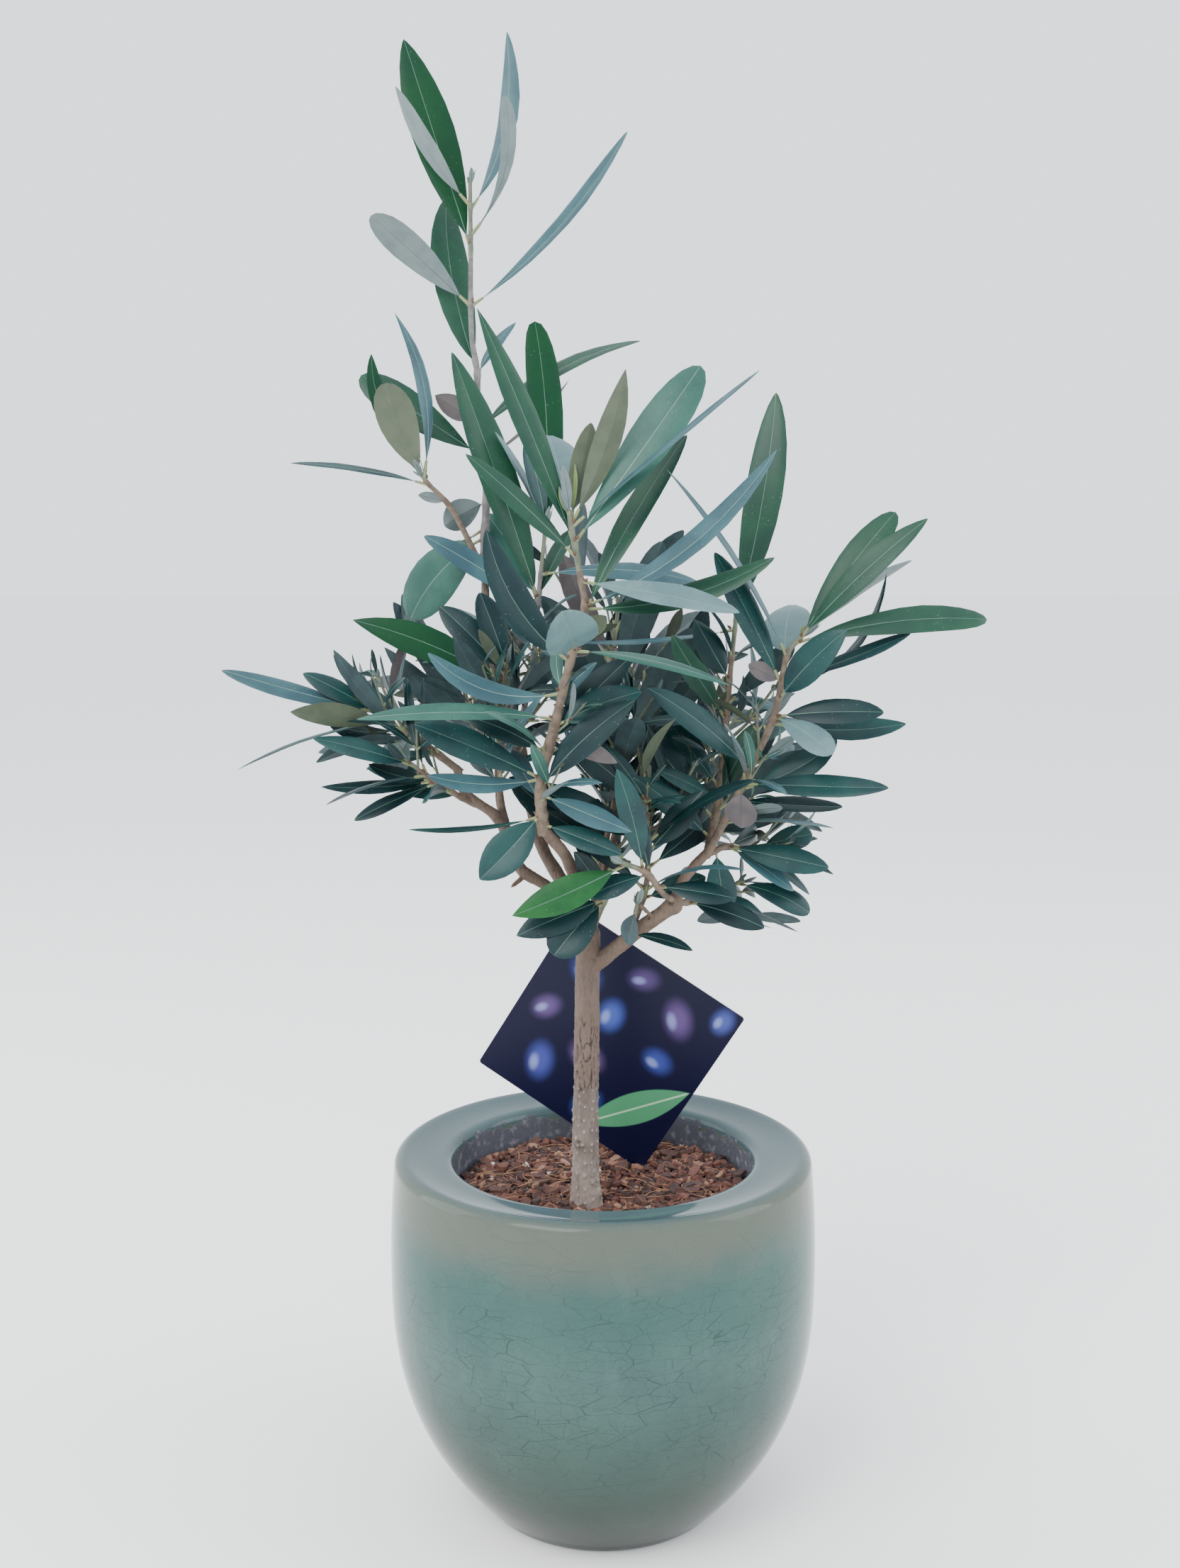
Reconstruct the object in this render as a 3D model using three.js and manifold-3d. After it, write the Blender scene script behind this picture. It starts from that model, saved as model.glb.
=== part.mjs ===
// Young olive tree in a glazed pot: pot, soil, trunk, boughs, leafy shoots and a plant card.
// Millimetres, +Z up. The origin is the middle of the pot's flat underside, and the tree is seen from -Y.

import * as THREE from 'three';
import { mergeVertices } from 'three/addons/utils/BufferGeometryUtils.js';
import Module from 'manifold-3d';

const wasm = await Module();
wasm.setup();

// Driving sizes
const GAP = 0.3;
const FINEST = 0.005;
const POT = {
  height: 135.4, foot: 44.5, belly: 80, bellyHeight: 95, shoulder: 78.3, swell: 2.75,
  ridge: 74.3, mouth: 56.2, mouthHeight: 133.2, throat: 112, wall: 8, floor: 10, sides: 36,
};
const SOIL_TOP = 120;
const CARD = { side: 76, thick: 0.6, corner: 1.2, x: 15, y: 18, spin: 12.8, yaw: -12, forward: 4.6 };
const LEAF = { thick: 0.013, leastThick: 0.7, root: 0.55 };
const LONG_BLADE = { stations: [0, 0.31, 0.7], shares: [0, 0.94, 0.92] };
const PLAIN_BLADE = { stations: [0, 0.5], shares: [0, 1] };

// Limbs: the path, the radius at the foot and at the tip, and how far the foot flares out.
const LIMBS = [
  {
    name: 'trunk', foot: 4.9, tip: 4.3, flare: 1.5, sides: 12,
    path: [
      [-6, -22, SOIL_TOP + GAP], [-6.3, -21.5, 150], [-5.7, -20.5, 185], [-5.5, -19, 212], [-5, -18, 222],
    ],
  },
  {
    name: 'right_bough', foot: 2.9, tip: 2.7, flare: 0.8, sides: 8,
    path: [[-5, -19.5, 209], [3, -21, 215], [11, -24, 222.5], [19, -26, 229], [25.5, -27, 234]],
  },
  {
    name: 'right_rise', foot: 2.2, tip: 1.8, flare: 0, sides: 7,
    path: [[25.5, -27, 234], [29, -22, 242], [38, -16, 251]],
  },
  {
    name: 'front_bough', foot: 2.7, tip: 1.9, flare: 0.3, sides: 8,
    path: [[-5, -18, 222], [-8, -29, 238], [-13, -38, 253], [-20.5, -43, 263]],
  },
  {
    name: 'leader_bough', foot: 2.8, tip: 1.6, flare: 0.3, sides: 8,
    path: [[-5, -18, 222], [-15, -5, 238], [-24, 2, 254], [-32, 8, 293], [-42, 12, 326], [-44, 15, 357]],
  },
  {
    name: 'left_bough', foot: 2.4, tip: 1.6, flare: 0.3, sides: 8,
    path: [
      [-5, -18, 221], [-19, -20, 238], [-30, -20, 246], [-37, -20, 263], [-49, -18, 272], [-52, -18, 281],
    ],
  },
  {
    name: 'left_back_bough', foot: 1.8, tip: 1.3, flare: 0.2, sides: 6,
    path: [[-31, -20, 248], [-38, 0, 268], [-38, 18, 288], [-30, 22, 298]],
  },
  {
    name: 'back_bough', foot: 2.5, tip: 1.7, flare: 0.3, sides: 8,
    path: [[-5, -18, 221], [-1, 0, 234], [5, 18, 250], [8, 30, 268]],
  },
];

// Leafy shoots: the path, the radius at foot and tip, and the seed of the shoot's own rule, which sets
// pairs of leaves that cross at right angles up the stem and side twigs that carry smaller pairs.
// The leading leaves that give the crown its outline are stated one by one as
// [share of the stem, clock angle seen from the front, lean to the viewer, length, width, turn of the face,
// arch, bow], with angles in degrees: a face turned 0 looks at the viewer, 90 looks up and 180 looks away.
// Arch lifts a leaf's middle towards its face and bow moves it sideways, both as shares of its length.
const PLAIN_ARCH = 0.05;
const SHOOTS = [
  {
    name: 'leader_shoot', seed: 11, foot: 1.5, tip: 0.7, pairs: 0, twigs: 0,
    path: [
      [-44, 15, 357], [-43, 16, 383], [-46, 16, 402], [-46, 17, 423], [-48, 17, 438], [-48, 18, 468],
      [-48, 18, 490],
    ],
    leaves: [
      [0.94, -33, 8, 48, 12, 120, -0.07], [0.93, 11, -12, 69, 12, 48, -0.12],
      [0.83, -18, -8, 86, 16.5, 15, 0.02], [0.86, 16, 12, 49, 7, 140, -0.1, 0.1],
      [0.72, -49, 12, 47, 13, 145], [0.72, 43, 0, 84, 10, 52, -0.08],
      [0.5, -11, -22, 75, 14.5, 20, 0.04, 0.07], [0.49, 35, -12, 25, 8, 55],
      [0.36, -58, 5, 18, 9, 160], [0.33, 59, -20, 75, 11, 54, 0.07],
      [0.24, 46, -20, 47, 6, 100, -0.05], [0.25, -56, -5, 56, 14.5, 25],
      [0.04, -136, 12, 43, 19, 15, 0.05, -0.08], [0.12, -120, 25, 18, 12, 150],
      [0.06, -150, -15, 72, 8.5, 50, 0.05, -0.15],
    ],
  },
  {
    name: 'left_upper_shoot', seed: 12, foot: 1.2, tip: 0.6, pairs: 0, twigs: 0,
    path: [[-44, 14, 351], [-55, 10, 373], [-63, 6, 382], [-65, 5, 385]],
    leaves: [
      [0.8, -20, 16, 37, 15, 165, 0.05, -0.08], [0.95, -10, -4, 60, 8.5, 60, 0.125],
      [0.66, -81, 0, 51, 8, 70, 0.03], [0.72, -25, -24, 59, 7.5, 40, 0, 0.1],
      [0.4, -75, 15, 11, 4.5, 150],
    ],
  },
  {
    name: 'front_shoot', seed: 13, foot: 1.9, tip: 0.8, pairs: 3, from: 0.1, to: 0.42, turn: 20,
    spread: 60, leaf: 40, twigs: 0,
    path: [
      [-20.5, -43, 263], [-21, -44, 279], [-16, -46, 300], [-10, -48, 324], [-6, -48, 337],
      [-8, -49, 352], [-11, -50, 369],
    ],
    leaves: [
      [0.97, 20, 10, 53, 9.5, 165, 0.05, 0.06], [0.98, 12, -5, 33, 9, 160], [0.91, 35.5, -5, 74, 16, 20],
      [0.96, 51, 5, 79, 8.5, 78, 0], [0.98, -15, -50, 50, 18, 20], [0.86, -47, 5, 50, 8.5, 35, 0.03],
      [0.9, -22.5, -8, 84, 10, 30, 0], [0.51, -12, 75, 52, 18, 12], [0.78, 101, 25, 57, 12, 50, 0.02],
      [0.68, 75, 5, 65, 10, 40, -0.06, -0.05], [0.66, 30, -15, 72, 11, 35, 0.01],
      [0.69, 51, 10, 81, 10, 46, -0.06, -0.05], [0.5, 102, 10, 54, 8, 66],
      [0.47, -32, 5, 52, 12.5, 25, 0.05, 0.11], [0.4, -73, 5, 47, 9, 40, -0.1, 0.1],
      [0.52, 47, 20, 17, 9, 150], [0.15, 46, 15, 46, 12, 30], [0.32, 68, 5, 32, 11, 25],
      [0.29, 109, 20, 24, 9, 140], [0.13, 111, 12, 34, 8.5, 35], [0.02, 109, 10, 30, 8.5, 35],
      [0.06, -136, 15, 31, 14, 15], [0.18, -66, 5, 47, 11.5, 25, 0.02],
      [0.18, -87, 10, 39, 8, 45, -0.06, 0.03], [0.34, -89, 12, 67, 9, 55], [0.25, -66, -5, 32, 9, 35],
      [0.05, -96, 0, 46, 5.5, 76, -0.06], [0.27, 43, 0, 42, 12, 25],
    ],
  },
  {
    name: 'upright_shoot', seed: 14, foot: 1.2, tip: 0.7, pairs: 3, from: 0.12, to: 0.5, turn: 45,
    spread: 55, leaf: 45, twigs: 0,
    path: [[-30, 22, 298], [-26, 18, 318], [-24, 14, 340], [-21, 12, 367]],
    leaves: [
      [0.67, -19, -5, 95, 15, 25, 0.03], [0.66, -31, -10, 40, 14, 20], [0.67, 26, -10, 30, 8, 40],
      [0.99, -3, -14, 77, 13, 12], [0.97, -26, 5, 41, 7, 70], [1, -13, 0, 32, 9, 40],
      [0.79, 93, -8, 60, 10, 50, 0.09], [0.34, -92, 0, 42, 8, 60], [0.64, -58, 9, 49, 9.5, 30, 0.04],
    ],
  },
  {
    name: 'middle_right_shoot', seed: 15, foot: 1.5, tip: 0.8, pairs: 4, from: 0.2, to: 0.8, turn: 30,
    spread: 55, leaf: 42, twigs: 1,
    path: [[38, -14, 252], [42, -6, 268], [45, 2, 293], [47, 6, 315], [49, 8, 334]],
    leaves: [
      [0.99, 10, -5, 84, 14, 15, 0.05, -0.045], [0.94, -94, -5, 65, 7, 76, -0.03],
      [0.54, -33, 0, 37, 10, 20], [0.7, -30, -10, 26, 11, 20], [0.62, 100, -10, 19, 8, 60],
      [0.15, -39, 8, 46, 12, 20], [0.3, -38, -10, 36, 12, 25], [0.25, -60, 18, 33, 8, 50],
      [0.05, -50, 15, 40, 10, 25], [0.26, 27, -10, 30, 10, 25],
    ],
  },
  {
    name: 'upper_right_shoot', seed: 16, foot: 1.6, tip: 0.8, pairs: 3, from: 0.2, to: 0.55, turn: 70,
    spread: 60, leaf: 40, twigs: 0,
    path: [
      [38, -17, 251], [43, -20, 262], [50, -22, 277], [60, -24, 300], [64, -26, 321], [69, -26, 328],
    ],
    leaves: [
      [0.96, 46, 5, 60, 10, 30, 0.07], [0.96, 38, -10, 57, 12, 25], [0.91, 83, 0, 67, 11, 35, 0.07],
      [0.98, 56, -10, 49, 8, 125], [0.8, -34, 5, 78, 7.5, 70, 0.04], [0.7, -28, 8, 52, 10.5, 25, 0],
      [0.69, 43, 8, 54, 7, 76, -0.18], [0.65, 41, 10, 36, 13, 30], [0.71, 69, -10, 47, 7.5, 56, -0.05],
      [0.71, -63, 10, 13, 7, 160], [0.6, 87, 10, 38, 10, 30], [0.58, 91, -8, 49, 10, 42, -0.05],
      [0.6, 122, 30, 27, 11, 35, 0.07], [0.79, 17, -58, 36, 17, 25],
      [0.37, 62, 5, 38, 11, 35, -0.06, -0.04], [0.39, 89, 10, 52, 10, 42, 0], [0.44, -51, 12, 48, 11, 30],
      [0.32, 95, -10, 40, 8.5, 56, -0.05], [0.37, 182, 20, 16, 12, 170],
    ],
  },
  {
    name: 'right_side_shoot', seed: 17, foot: 1.3, tip: 0.6, pairs: 3, from: 0.35, to: 1, turn: 10,
    spread: 50, leaf: 40, twigs: 0,
    path: [[38, -16, 250], [44, -13, 252], [52, -10, 251], [60, -8, 252]],
    leaves: [
      [0.38, 100, 12, 37, 10, 25], [0.86, 77, -8, 20, 9, 20], [0.41, 124, 8, 28, 8, 50],
      [0.64, 126, -5, 30, 7, 62], [0.15, 172, 45, 22, 12, 20], [0.91, 113, -15, 25, 8, 40],
    ],
  },
  {
    name: 'right_low_shoot', seed: 41, foot: 1.3, tip: 0.6, pairs: 3, from: 0.3, to: 1, turn: 40,
    spread: 55, leaf: 40, twigs: 1,
    path: [[25.5, -27, 234], [33, -22, 234], [42, -14, 235], [50, -6, 238]],
    leaves: [[0.2, 106, 15, 29, 9, 30], [0.62, 118, -14, 22, 8, 40], [0.95, 112, 0, 29, 9.5, 35, 0.08]],
  },
  {
    name: 'knob_shoot', seed: 19, foot: 1.2, tip: 0.9, pairs: 0, twigs: 0,
    path: [[25.5, -28, 235], [21, -34, 239], [15, -38, 247], [7, -42, 251]],
    leaves: [
      [0.96, -113, 10, 43, 12, 15], [0.72, -14, 15, 39, 9.5, 15], [0.62, -109, 10, 23, 9, 40],
      [0.45, 97, 10, 27, 9, 40], [0.6, -20, -12, 30, 9, 30],
    ],
  },
  {
    name: 'left_shoot', seed: 20, foot: 1.4, tip: 0.7, pairs: 5, from: 0.15, to: 0.95, turn: 60,
    spread: 50, leaf: 40, twigs: 1,
    path: [[-52, -18, 281], [-65, -18, 291], [-73, -17, 295], [-82, -16, 302]],
    leaves: [
      [0.95, -74, 5, 56, 8.5, 50, 0.02], [0.93, -61, -10, 30, 8.5, 40], [0.71, -35, -5, 18, 8, 30],
      [0.81, -108, 0, 57, 6, 84], [0.67, -86, 5, 26, 8, 52, -0.1], [0.45, -158, 35, 18, 9, 160],
    ],
  },
  {
    name: 'left_low_shoot', seed: 21, foot: 1.2, tip: 0.6, pairs: 3, from: 0.3, to: 1, turn: 20,
    spread: 50, leaf: 38, twigs: 0,
    path: [[-47, -19, 269], [-54, -25, 274], [-62, -28, 280], [-68, -30, 285]],
    leaves: [
      [0.15, -82, -5, 22, 8, 40], [0.57, -75, 5, 23, 8, 50, -0.12], [0.54, -93, 0, 40, 7.5, 55, -0.05],
      [0.5, -114, 5, 32, 7.5, 50, 0], [0.88, -74, 5, 36, 9, 45],
    ],
  },
  {
    name: 'left_inner_shoot', seed: 22, foot: 1.2, tip: 0.6, pairs: 6, from: 0.3, to: 0.95, turn: 35,
    spread: 55, leaf: 42, twigs: 1,
    path: [[-36, -19, 261], [-37, -13, 277], [-36, -8, 296], [-35, -4, 317]],
    leaves: [
      [0.9, -67, 5, 59, 12.5, 20], [0.95, -45, -10, 35, 11, 25], [1, -20, -5, 28, 11, 25],
      [0.74, -54, 0, 37, 9, 35],
    ],
  },
  {
    name: 'centre_shoot', seed: 23, foot: 1.4, tip: 0.7, pairs: 7, from: 0.22, to: 1, turn: 15,
    spread: 58, leaf: 50, twigs: 2,
    path: [[-5, -17, 221], [-1, -15, 245], [4, -12, 268], [7, -10, 300]],
    leaves: [],
  },
  {
    name: 'inner_low_shoot', seed: 30, foot: 1.2, tip: 0.6, pairs: 6, from: 0.25, to: 1, turn: 60,
    spread: 60, leaf: 46, twigs: 1,
    path: [[10, -23, 223], [15, -24, 238], [16, -25, 252], [15, -24, 270], [13, -22, 286]],
    leaves: [[0.5, 40, 10, 30, 10, 25], [0.75, -50, 10, 36, 11, 20], [0.2, 75, 10, 26, 9, 25]],
  },
  {
    name: 'fork_shoot', seed: 24, foot: 1.3, tip: 0.9, pairs: 0, twigs: 0,
    path: [[-5, -19, 221], [-2, -28, 229], [1, -34, 237]],
    leaves: [[1, -110, 15, 34, 12, 25], [0.95, -134, 25, 27, 14.5, 20], [0.9, -28, 22, 24, 9, 40]],
  },
  {
    name: 'bough_sprig', seed: 25, foot: 0.9, tip: 0.6, pairs: 0, twigs: 0,
    path: [[8, -24, 219.5], [10, -31, 225], [12, -33, 235]],
    leaves: [[0.4, 105, 0, 23, 7, 66], [0.9, -165, 12, 14, 8, 150]],
  },
  {
    name: 'back_low_shoot', seed: 26, foot: 1.5, tip: 0.7, pairs: 6, from: 0.2, to: 1, turn: 0,
    spread: 55, leaf: 52, twigs: 2,
    path: [[8, 30, 268], [14, 44, 276], [20, 58, 288], [24, 68, 304]],
    leaves: [],
  },
  {
    name: 'back_top_shoot', seed: 27, foot: 1.5, tip: 0.7, pairs: 6, from: 0.25, to: 1, turn: 50,
    spread: 45, leaf: 58, twigs: 2,
    path: [[8, 30, 268], [8, 36, 290], [4, 40, 314], [6, 42, 338]],
    leaves: [],
  },
  {
    name: 'back_left_shoot', seed: 28, foot: 1.4, tip: 0.7, pairs: 6, from: 0.25, to: 1, turn: 20,
    spread: 52, leaf: 52, twigs: 2,
    path: [[-38, 14, 283], [-46, 30, 288], [-52, 44, 298], [-58, 54, 312]],
    leaves: [],
  },
  {
    name: 'back_right_shoot', seed: 29, foot: 1.4, tip: 0.7, pairs: 6, from: 0.3, to: 1, turn: 80,
    spread: 52, leaf: 52, twigs: 2,
    path: [[2, 10, 243], [18, 22, 252], [36, 32, 264], [50, 40, 282]],
    leaves: [],
  },
];

// The rule's own sizes
const RULE = {
  jitter: 24, spreadJitter: 14, droop: 0.12, steepest: -0.2, toSky: 0.5, toOpen: 1.3, rollJitter: 50,
  widthShare: 0.2, widthJitter: 0.06, arch: 0.03, archJitter: 0.06, lengthJitter: 0.26, endLeaf: 0.62,
  twig: 0.55, twigPairs: 2, twigLeaf: 0.72, twigRise: 40, twigRadius: 0.75, twigTip: 0.5,
};
const LEAN_TRIES = [0, 6, -6, 12, -12, 18, -18, 26, -26, 34, -34];
const TURN_TRIES = [0, 15, -15, 30, -30, 45, -45];

const BARK = new THREE.MeshStandardMaterial({ color: 0x8c7b6b, roughness: 0.9, metalness: 0 });
const FOLIAGE = new THREE.MeshStandardMaterial({ color: 0x3f6b5c, roughness: 0.55, metalness: 0 });
const GLAZE = new THREE.MeshStandardMaterial({ color: 0x6e968a, roughness: 0.15, metalness: 0 });
const EARTH = new THREE.MeshStandardMaterial({ color: 0x5a4030, roughness: 1, metalness: 0 });
const PRINT = new THREE.MeshStandardMaterial({ color: 0x1a1c3c, roughness: 0.4, metalness: 0 });

// Small maths
const UP = new THREE.Vector3(0, 0, 1);
const TO_VIEWER = new THREE.Vector3(0, -1, 0);
const radians = THREE.MathUtils.degToRad;
const mix = THREE.MathUtils.lerp;
const vector = (p) => new THREE.Vector3(...p);
const across = (v, axis) => v.clone().addScaledVector(axis, -v.dot(axis)).normalize();
const turned = (v, axis, degrees) => v.clone().applyAxisAngle(axis, radians(degrees));
const curveOf = (path) => new THREE.CatmullRomCurve3(path.map(vector), false, 'catmullrom', 0.5);

function heading(clock, lean) {
  const c = radians(clock);
  const l = radians(lean);
  return new THREE.Vector3(Math.sin(c) * Math.cos(l), -Math.sin(l), Math.cos(c) * Math.cos(l));
}

function seededRandom(seed) {
  let state = seed;
  return () => {
    state = (state + 0x6d2b79f5) | 0;
    let t = Math.imul(state ^ (state >>> 15), 1 | state);
    t = (t + Math.imul(t ^ (t >>> 7), 61 | t)) ^ t;
    return ((t ^ (t >>> 14)) >>> 0) / 4294967296;
  };
}

// Rings of equal count become one closed body, from a flat start to a flat end or to a point.
function loft(rings, point) {
  const sides = rings[0].length;
  const last = (rings.length - 1) * sides;
  const corners = rings.flat();
  const faces = [];
  for (let s = 2; s < sides; s += 1) faces.push(0, s, s - 1);
  for (let r = 0; r < rings.length - 1; r += 1) {
    for (let s = 0; s < sides; s += 1) {
      const a = r * sides + s;
      const b = r * sides + ((s + 1) % sides);
      faces.push(a, b, b + sides, a, b + sides, a + sides);
    }
  }
  if (point) {
    corners.push(point);
    const top = corners.length - 1;
    for (let s = 0; s < sides; s += 1) faces.push(last + s, last + ((s + 1) % sides), top);
  } else {
    for (let s = 2; s < sides; s += 1) faces.push(last, last + s - 1, last + s);
  }
  const geometry = new THREE.BufferGeometry().setFromPoints(corners);
  geometry.setIndex(faces);
  return geometry;
}

function solidOf(geometry) {
  const bare = geometry.clone();
  bare.deleteAttribute('normal');
  bare.deleteAttribute('uv');
  const merged = mergeVertices(bare, 1e-4);
  return new wasm.Manifold(new wasm.Mesh({
    numProp: 3,
    vertProperties: new Float32Array(merged.attributes.position.array),
    triVerts: new Uint32Array(merged.index.array),
  }));
}

function geometryOf(solid) {
  const mesh = solid.simplify(FINEST).getMesh();
  const geometry = new THREE.BufferGeometry();
  geometry.setAttribute('position', new THREE.BufferAttribute(new Float32Array(mesh.vertProperties), 3));
  geometry.setIndex(new THREE.BufferAttribute(new Uint32Array(mesh.triVerts), 1));
  return geometry;
}

// Frames carried along a path without twist: one for each of steps + 1 places.
function framesAlong(path, steps) {
  const curve = curveOf(path);
  const frames = [];
  let side = null;
  for (let i = 0; i <= steps; i += 1) {
    const tangent = curve.getTangent(i / steps);
    side = across(side || (Math.abs(tangent.y) > 0.9 ? new THREE.Vector3(1, 0, 0) : TO_VIEWER), tangent);
    frames.push({ at: curve.getPoint(i / steps), tangent, side, up: tangent.clone().cross(side) });
  }
  return frames;
}

// A tapering limb or twig. swell widens it on all sides, for the room that others keep clear.
function limbSolid(limb, stepsPerSpan, swell) {
  const steps = (limb.path.length - 1) * stepsPerSpan;
  const frames = framesAlong(limb.path, steps);
  const rings = frames.map((f, i) => {
    const share = i / steps;
    const flare = (limb.flare || 0) * Math.exp(-share / 0.06);
    const radius = mix(limb.foot, limb.tip, share) + flare + swell;
    const push = (i === steps ? swell : 0) - (i === 0 ? swell : 0);
    return Array.from({ length: limb.sides }, (_, s) => {
      const angle = (2 * Math.PI * s) / limb.sides;
      return f.at.clone().addScaledVector(f.tangent, push)
        .addScaledVector(f.side, radius * Math.cos(angle)).addScaledVector(f.up, radius * Math.sin(angle));
    });
  });
  return solidOf(loft(rings));
}

// One leaf: flat above, keeled below, arched and bowed along its length. It starts in the stem's middle.
function leafSolid(leaf, swell, first) {
  const side = leaf.face.clone().cross(leaf.aim);
  const depth = Math.max(LEAF.leastThick, LEAF.thick * leaf.length);
  const place = (share) => {
    const bend = leaf.length * 4 * share * (1 - share);
    return leaf.root.clone().addScaledVector(leaf.aim, leaf.length * share)
      .addScaledVector(leaf.face, bend * leaf.arch).addScaledVector(side, bend * leaf.bow);
  };
  const rings = leaf.blade.stations.map((station, i) => {
    const share = i === 0 ? first : station;
    const half = Math.max(mix(LEAF.root, leaf.width / 2, leaf.blade.shares[i]), LEAF.root) + swell;
    const middle = place(share);
    return [
      middle.clone().addScaledVector(side, half).addScaledVector(leaf.face, 0.35 * depth + swell),
      middle.clone().addScaledVector(side, -half).addScaledVector(leaf.face, 0.35 * depth + swell),
      middle.clone().addScaledVector(leaf.face, -0.65 * depth - swell),
    ];
  });
  return solidOf(loft(rings, place(1).addScaledVector(leaf.aim, swell)));
}

// What already stands: each new limb, twig or leaf has to keep clear of it.
const standing = [];

function boxesMeet(a, b) {
  return [0, 1, 2].every((k) => a.min[k] <= b.max[k] && b.min[k] <= a.max[k]);
}

function stand(owner, solid) {
  standing.push({ owner, solid, box: solid.boundingBox() });
}

function meets(solid, others) {
  const box = solid.boundingBox();
  return others.some((o) => boxesMeet(box, o.box) && !solid.intersect(o.solid).isEmpty());
}

function leafIsFree(owner, leaf) {
  const blade = leafSolid(leaf, 0.1, 0.16);
  if (meets(blade, standing.filter((o) => o.owner === owner))) return false;
  return !meets(leafSolid(leaf, GAP, 0), standing.filter((o) => o.owner !== owner));
}

// Leading leaves, from their stated angles
function statedLeaf(shoot, row, leanMore) {
  const [share, clock, lean, length, width, turn, arch = PLAIN_ARCH, bow = 0] = row;
  const aim = heading(clock, lean + leanMore);
  const toViewer = across(TO_VIEWER, aim);
  const upward = across(UP, aim);
  const away = aim.clone().cross(toViewer);
  const lift = upward.dot(away) < 0 ? away.negate() : away;
  const face = toViewer.multiplyScalar(Math.cos(radians(turn)))
    .addScaledVector(lift, Math.sin(radians(turn))).normalize();
  const root = curveOf(shoot.path).getPoint(share);
  return { root, aim, face, length, width, arch, bow, blade: LONG_BLADE };
}

// Pairs of leaves set by the rule: all random numbers are drawn first, so the same leaves come each time.
function pairWishes(stem, random) {
  const wishes = [];
  for (let k = 0; k < stem.pairs; k += 1) {
    const share = stem.pairs > 1 ? mix(stem.from, stem.to, k / (stem.pairs - 1)) : stem.to;
    const turn = stem.turn + 90 * k + (random() - 0.5) * RULE.jitter;
    const size = (1 - 1.1 * (share - 0.45) ** 2) * (k === stem.pairs - 1 ? RULE.endLeaf : 1);
    for (const half of [0, 180]) {
      wishes.push({
        share, turn: turn + half,
        spread: stem.spread * (1.1 - 0.35 * share) + (random() - 0.5) * RULE.spreadJitter,
        length: stem.leaf * size * (1 + (random() - 0.5) * RULE.lengthJitter),
        widthShare: RULE.widthShare + random() * RULE.widthJitter,
        roll: (random() - 0.5) * RULE.rollJitter,
        arch: RULE.arch + random() * RULE.archJitter,
      });
    }
  }
  return wishes;
}

function wishedLeaf(stem, wish, turnMore) {
  const steps = 20;
  const frames = framesAlong(stem.path, steps);
  const f = frames[Math.round(wish.share * steps)];
  const angle = radians(wish.turn + turnMore);
  const outward = f.side.clone().multiplyScalar(Math.cos(angle)).addScaledVector(f.up, Math.sin(angle));
  const aim = f.tangent.clone().multiplyScalar(Math.cos(radians(wish.spread)))
    .addScaledVector(outward, Math.sin(radians(wish.spread)));
  aim.z = Math.max(aim.z - RULE.droop, RULE.steepest);
  aim.normalize();
  const open = new THREE.Vector3(f.at.x + aim.x * wish.length, f.at.y + aim.y * wish.length, 0).normalize();
  const light = f.tangent.clone().addScaledVector(UP, RULE.toSky).addScaledVector(open, RULE.toOpen);
  const face = turned(across(light, aim), aim, wish.roll);
  const width = wish.length * wish.widthShare;
  return { root: f.at, aim, face, length: wish.length, width, arch: wish.arch, bow: 0, blade: PLAIN_BLADE };
}

// Side twigs set by the rule, each a small stem with pairs of its own
function twigWishes(shoot, random) {
  const wishes = [];
  for (let k = 0; k < shoot.twigs; k += 1) {
    const share = mix(shoot.from, shoot.to, (k + 0.5) / shoot.twigs) * 0.9;
    const turn = shoot.turn + 45 + 180 * k + (random() - 0.5) * 60;
    const length = shoot.leaf * (RULE.twig + 0.2 * random());
    wishes.push({ share, turn, length, bow: 0.1 + 0.1 * random() });
  }
  return wishes;
}

function twigOf(shoot, wish, turnMore) {
  const steps = 20;
  const f = framesAlong(shoot.path, steps)[Math.round(wish.share * steps)];
  const angle = radians(wish.turn + turnMore);
  const outward = f.side.clone().multiplyScalar(Math.cos(angle)).addScaledVector(f.up, Math.sin(angle));
  const aim = f.tangent.clone().multiplyScalar(Math.cos(radians(RULE.twigRise)))
    .addScaledVector(outward, Math.sin(radians(RULE.twigRise))).normalize();
  const middle = f.at.clone().addScaledVector(aim, wish.length / 2)
    .addScaledVector(UP, -wish.bow * wish.length / 2);
  const end = f.at.clone().addScaledVector(aim, wish.length);
  return {
    path: [f.at, middle, end].map((p) => p.toArray()), sides: 3, foot: RULE.twigRadius, tip: RULE.twigTip,
    pairs: RULE.twigPairs, from: 0.55, to: 1, turn: wish.turn, spread: shoot.spread,
    leaf: shoot.leaf * RULE.twigLeaf,
  };
}

// Sub-parts
const tree = new THREE.Group();

function addPart(name, geometry, material) {
  const mesh = new THREE.Mesh(geometry, material);
  mesh.name = name;
  tree.add(mesh);
  return mesh;
}

function potRadius(z) {
  if (z >= POT.bellyHeight) {
    const rise = (z - POT.bellyHeight) / (POT.height - 4 - POT.bellyHeight);
    return mix(POT.belly, POT.shoulder, rise * rise);
  }
  return mix(POT.foot, POT.belly, 1 - (1 - z / POT.bellyHeight) ** POT.swell);
}

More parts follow.
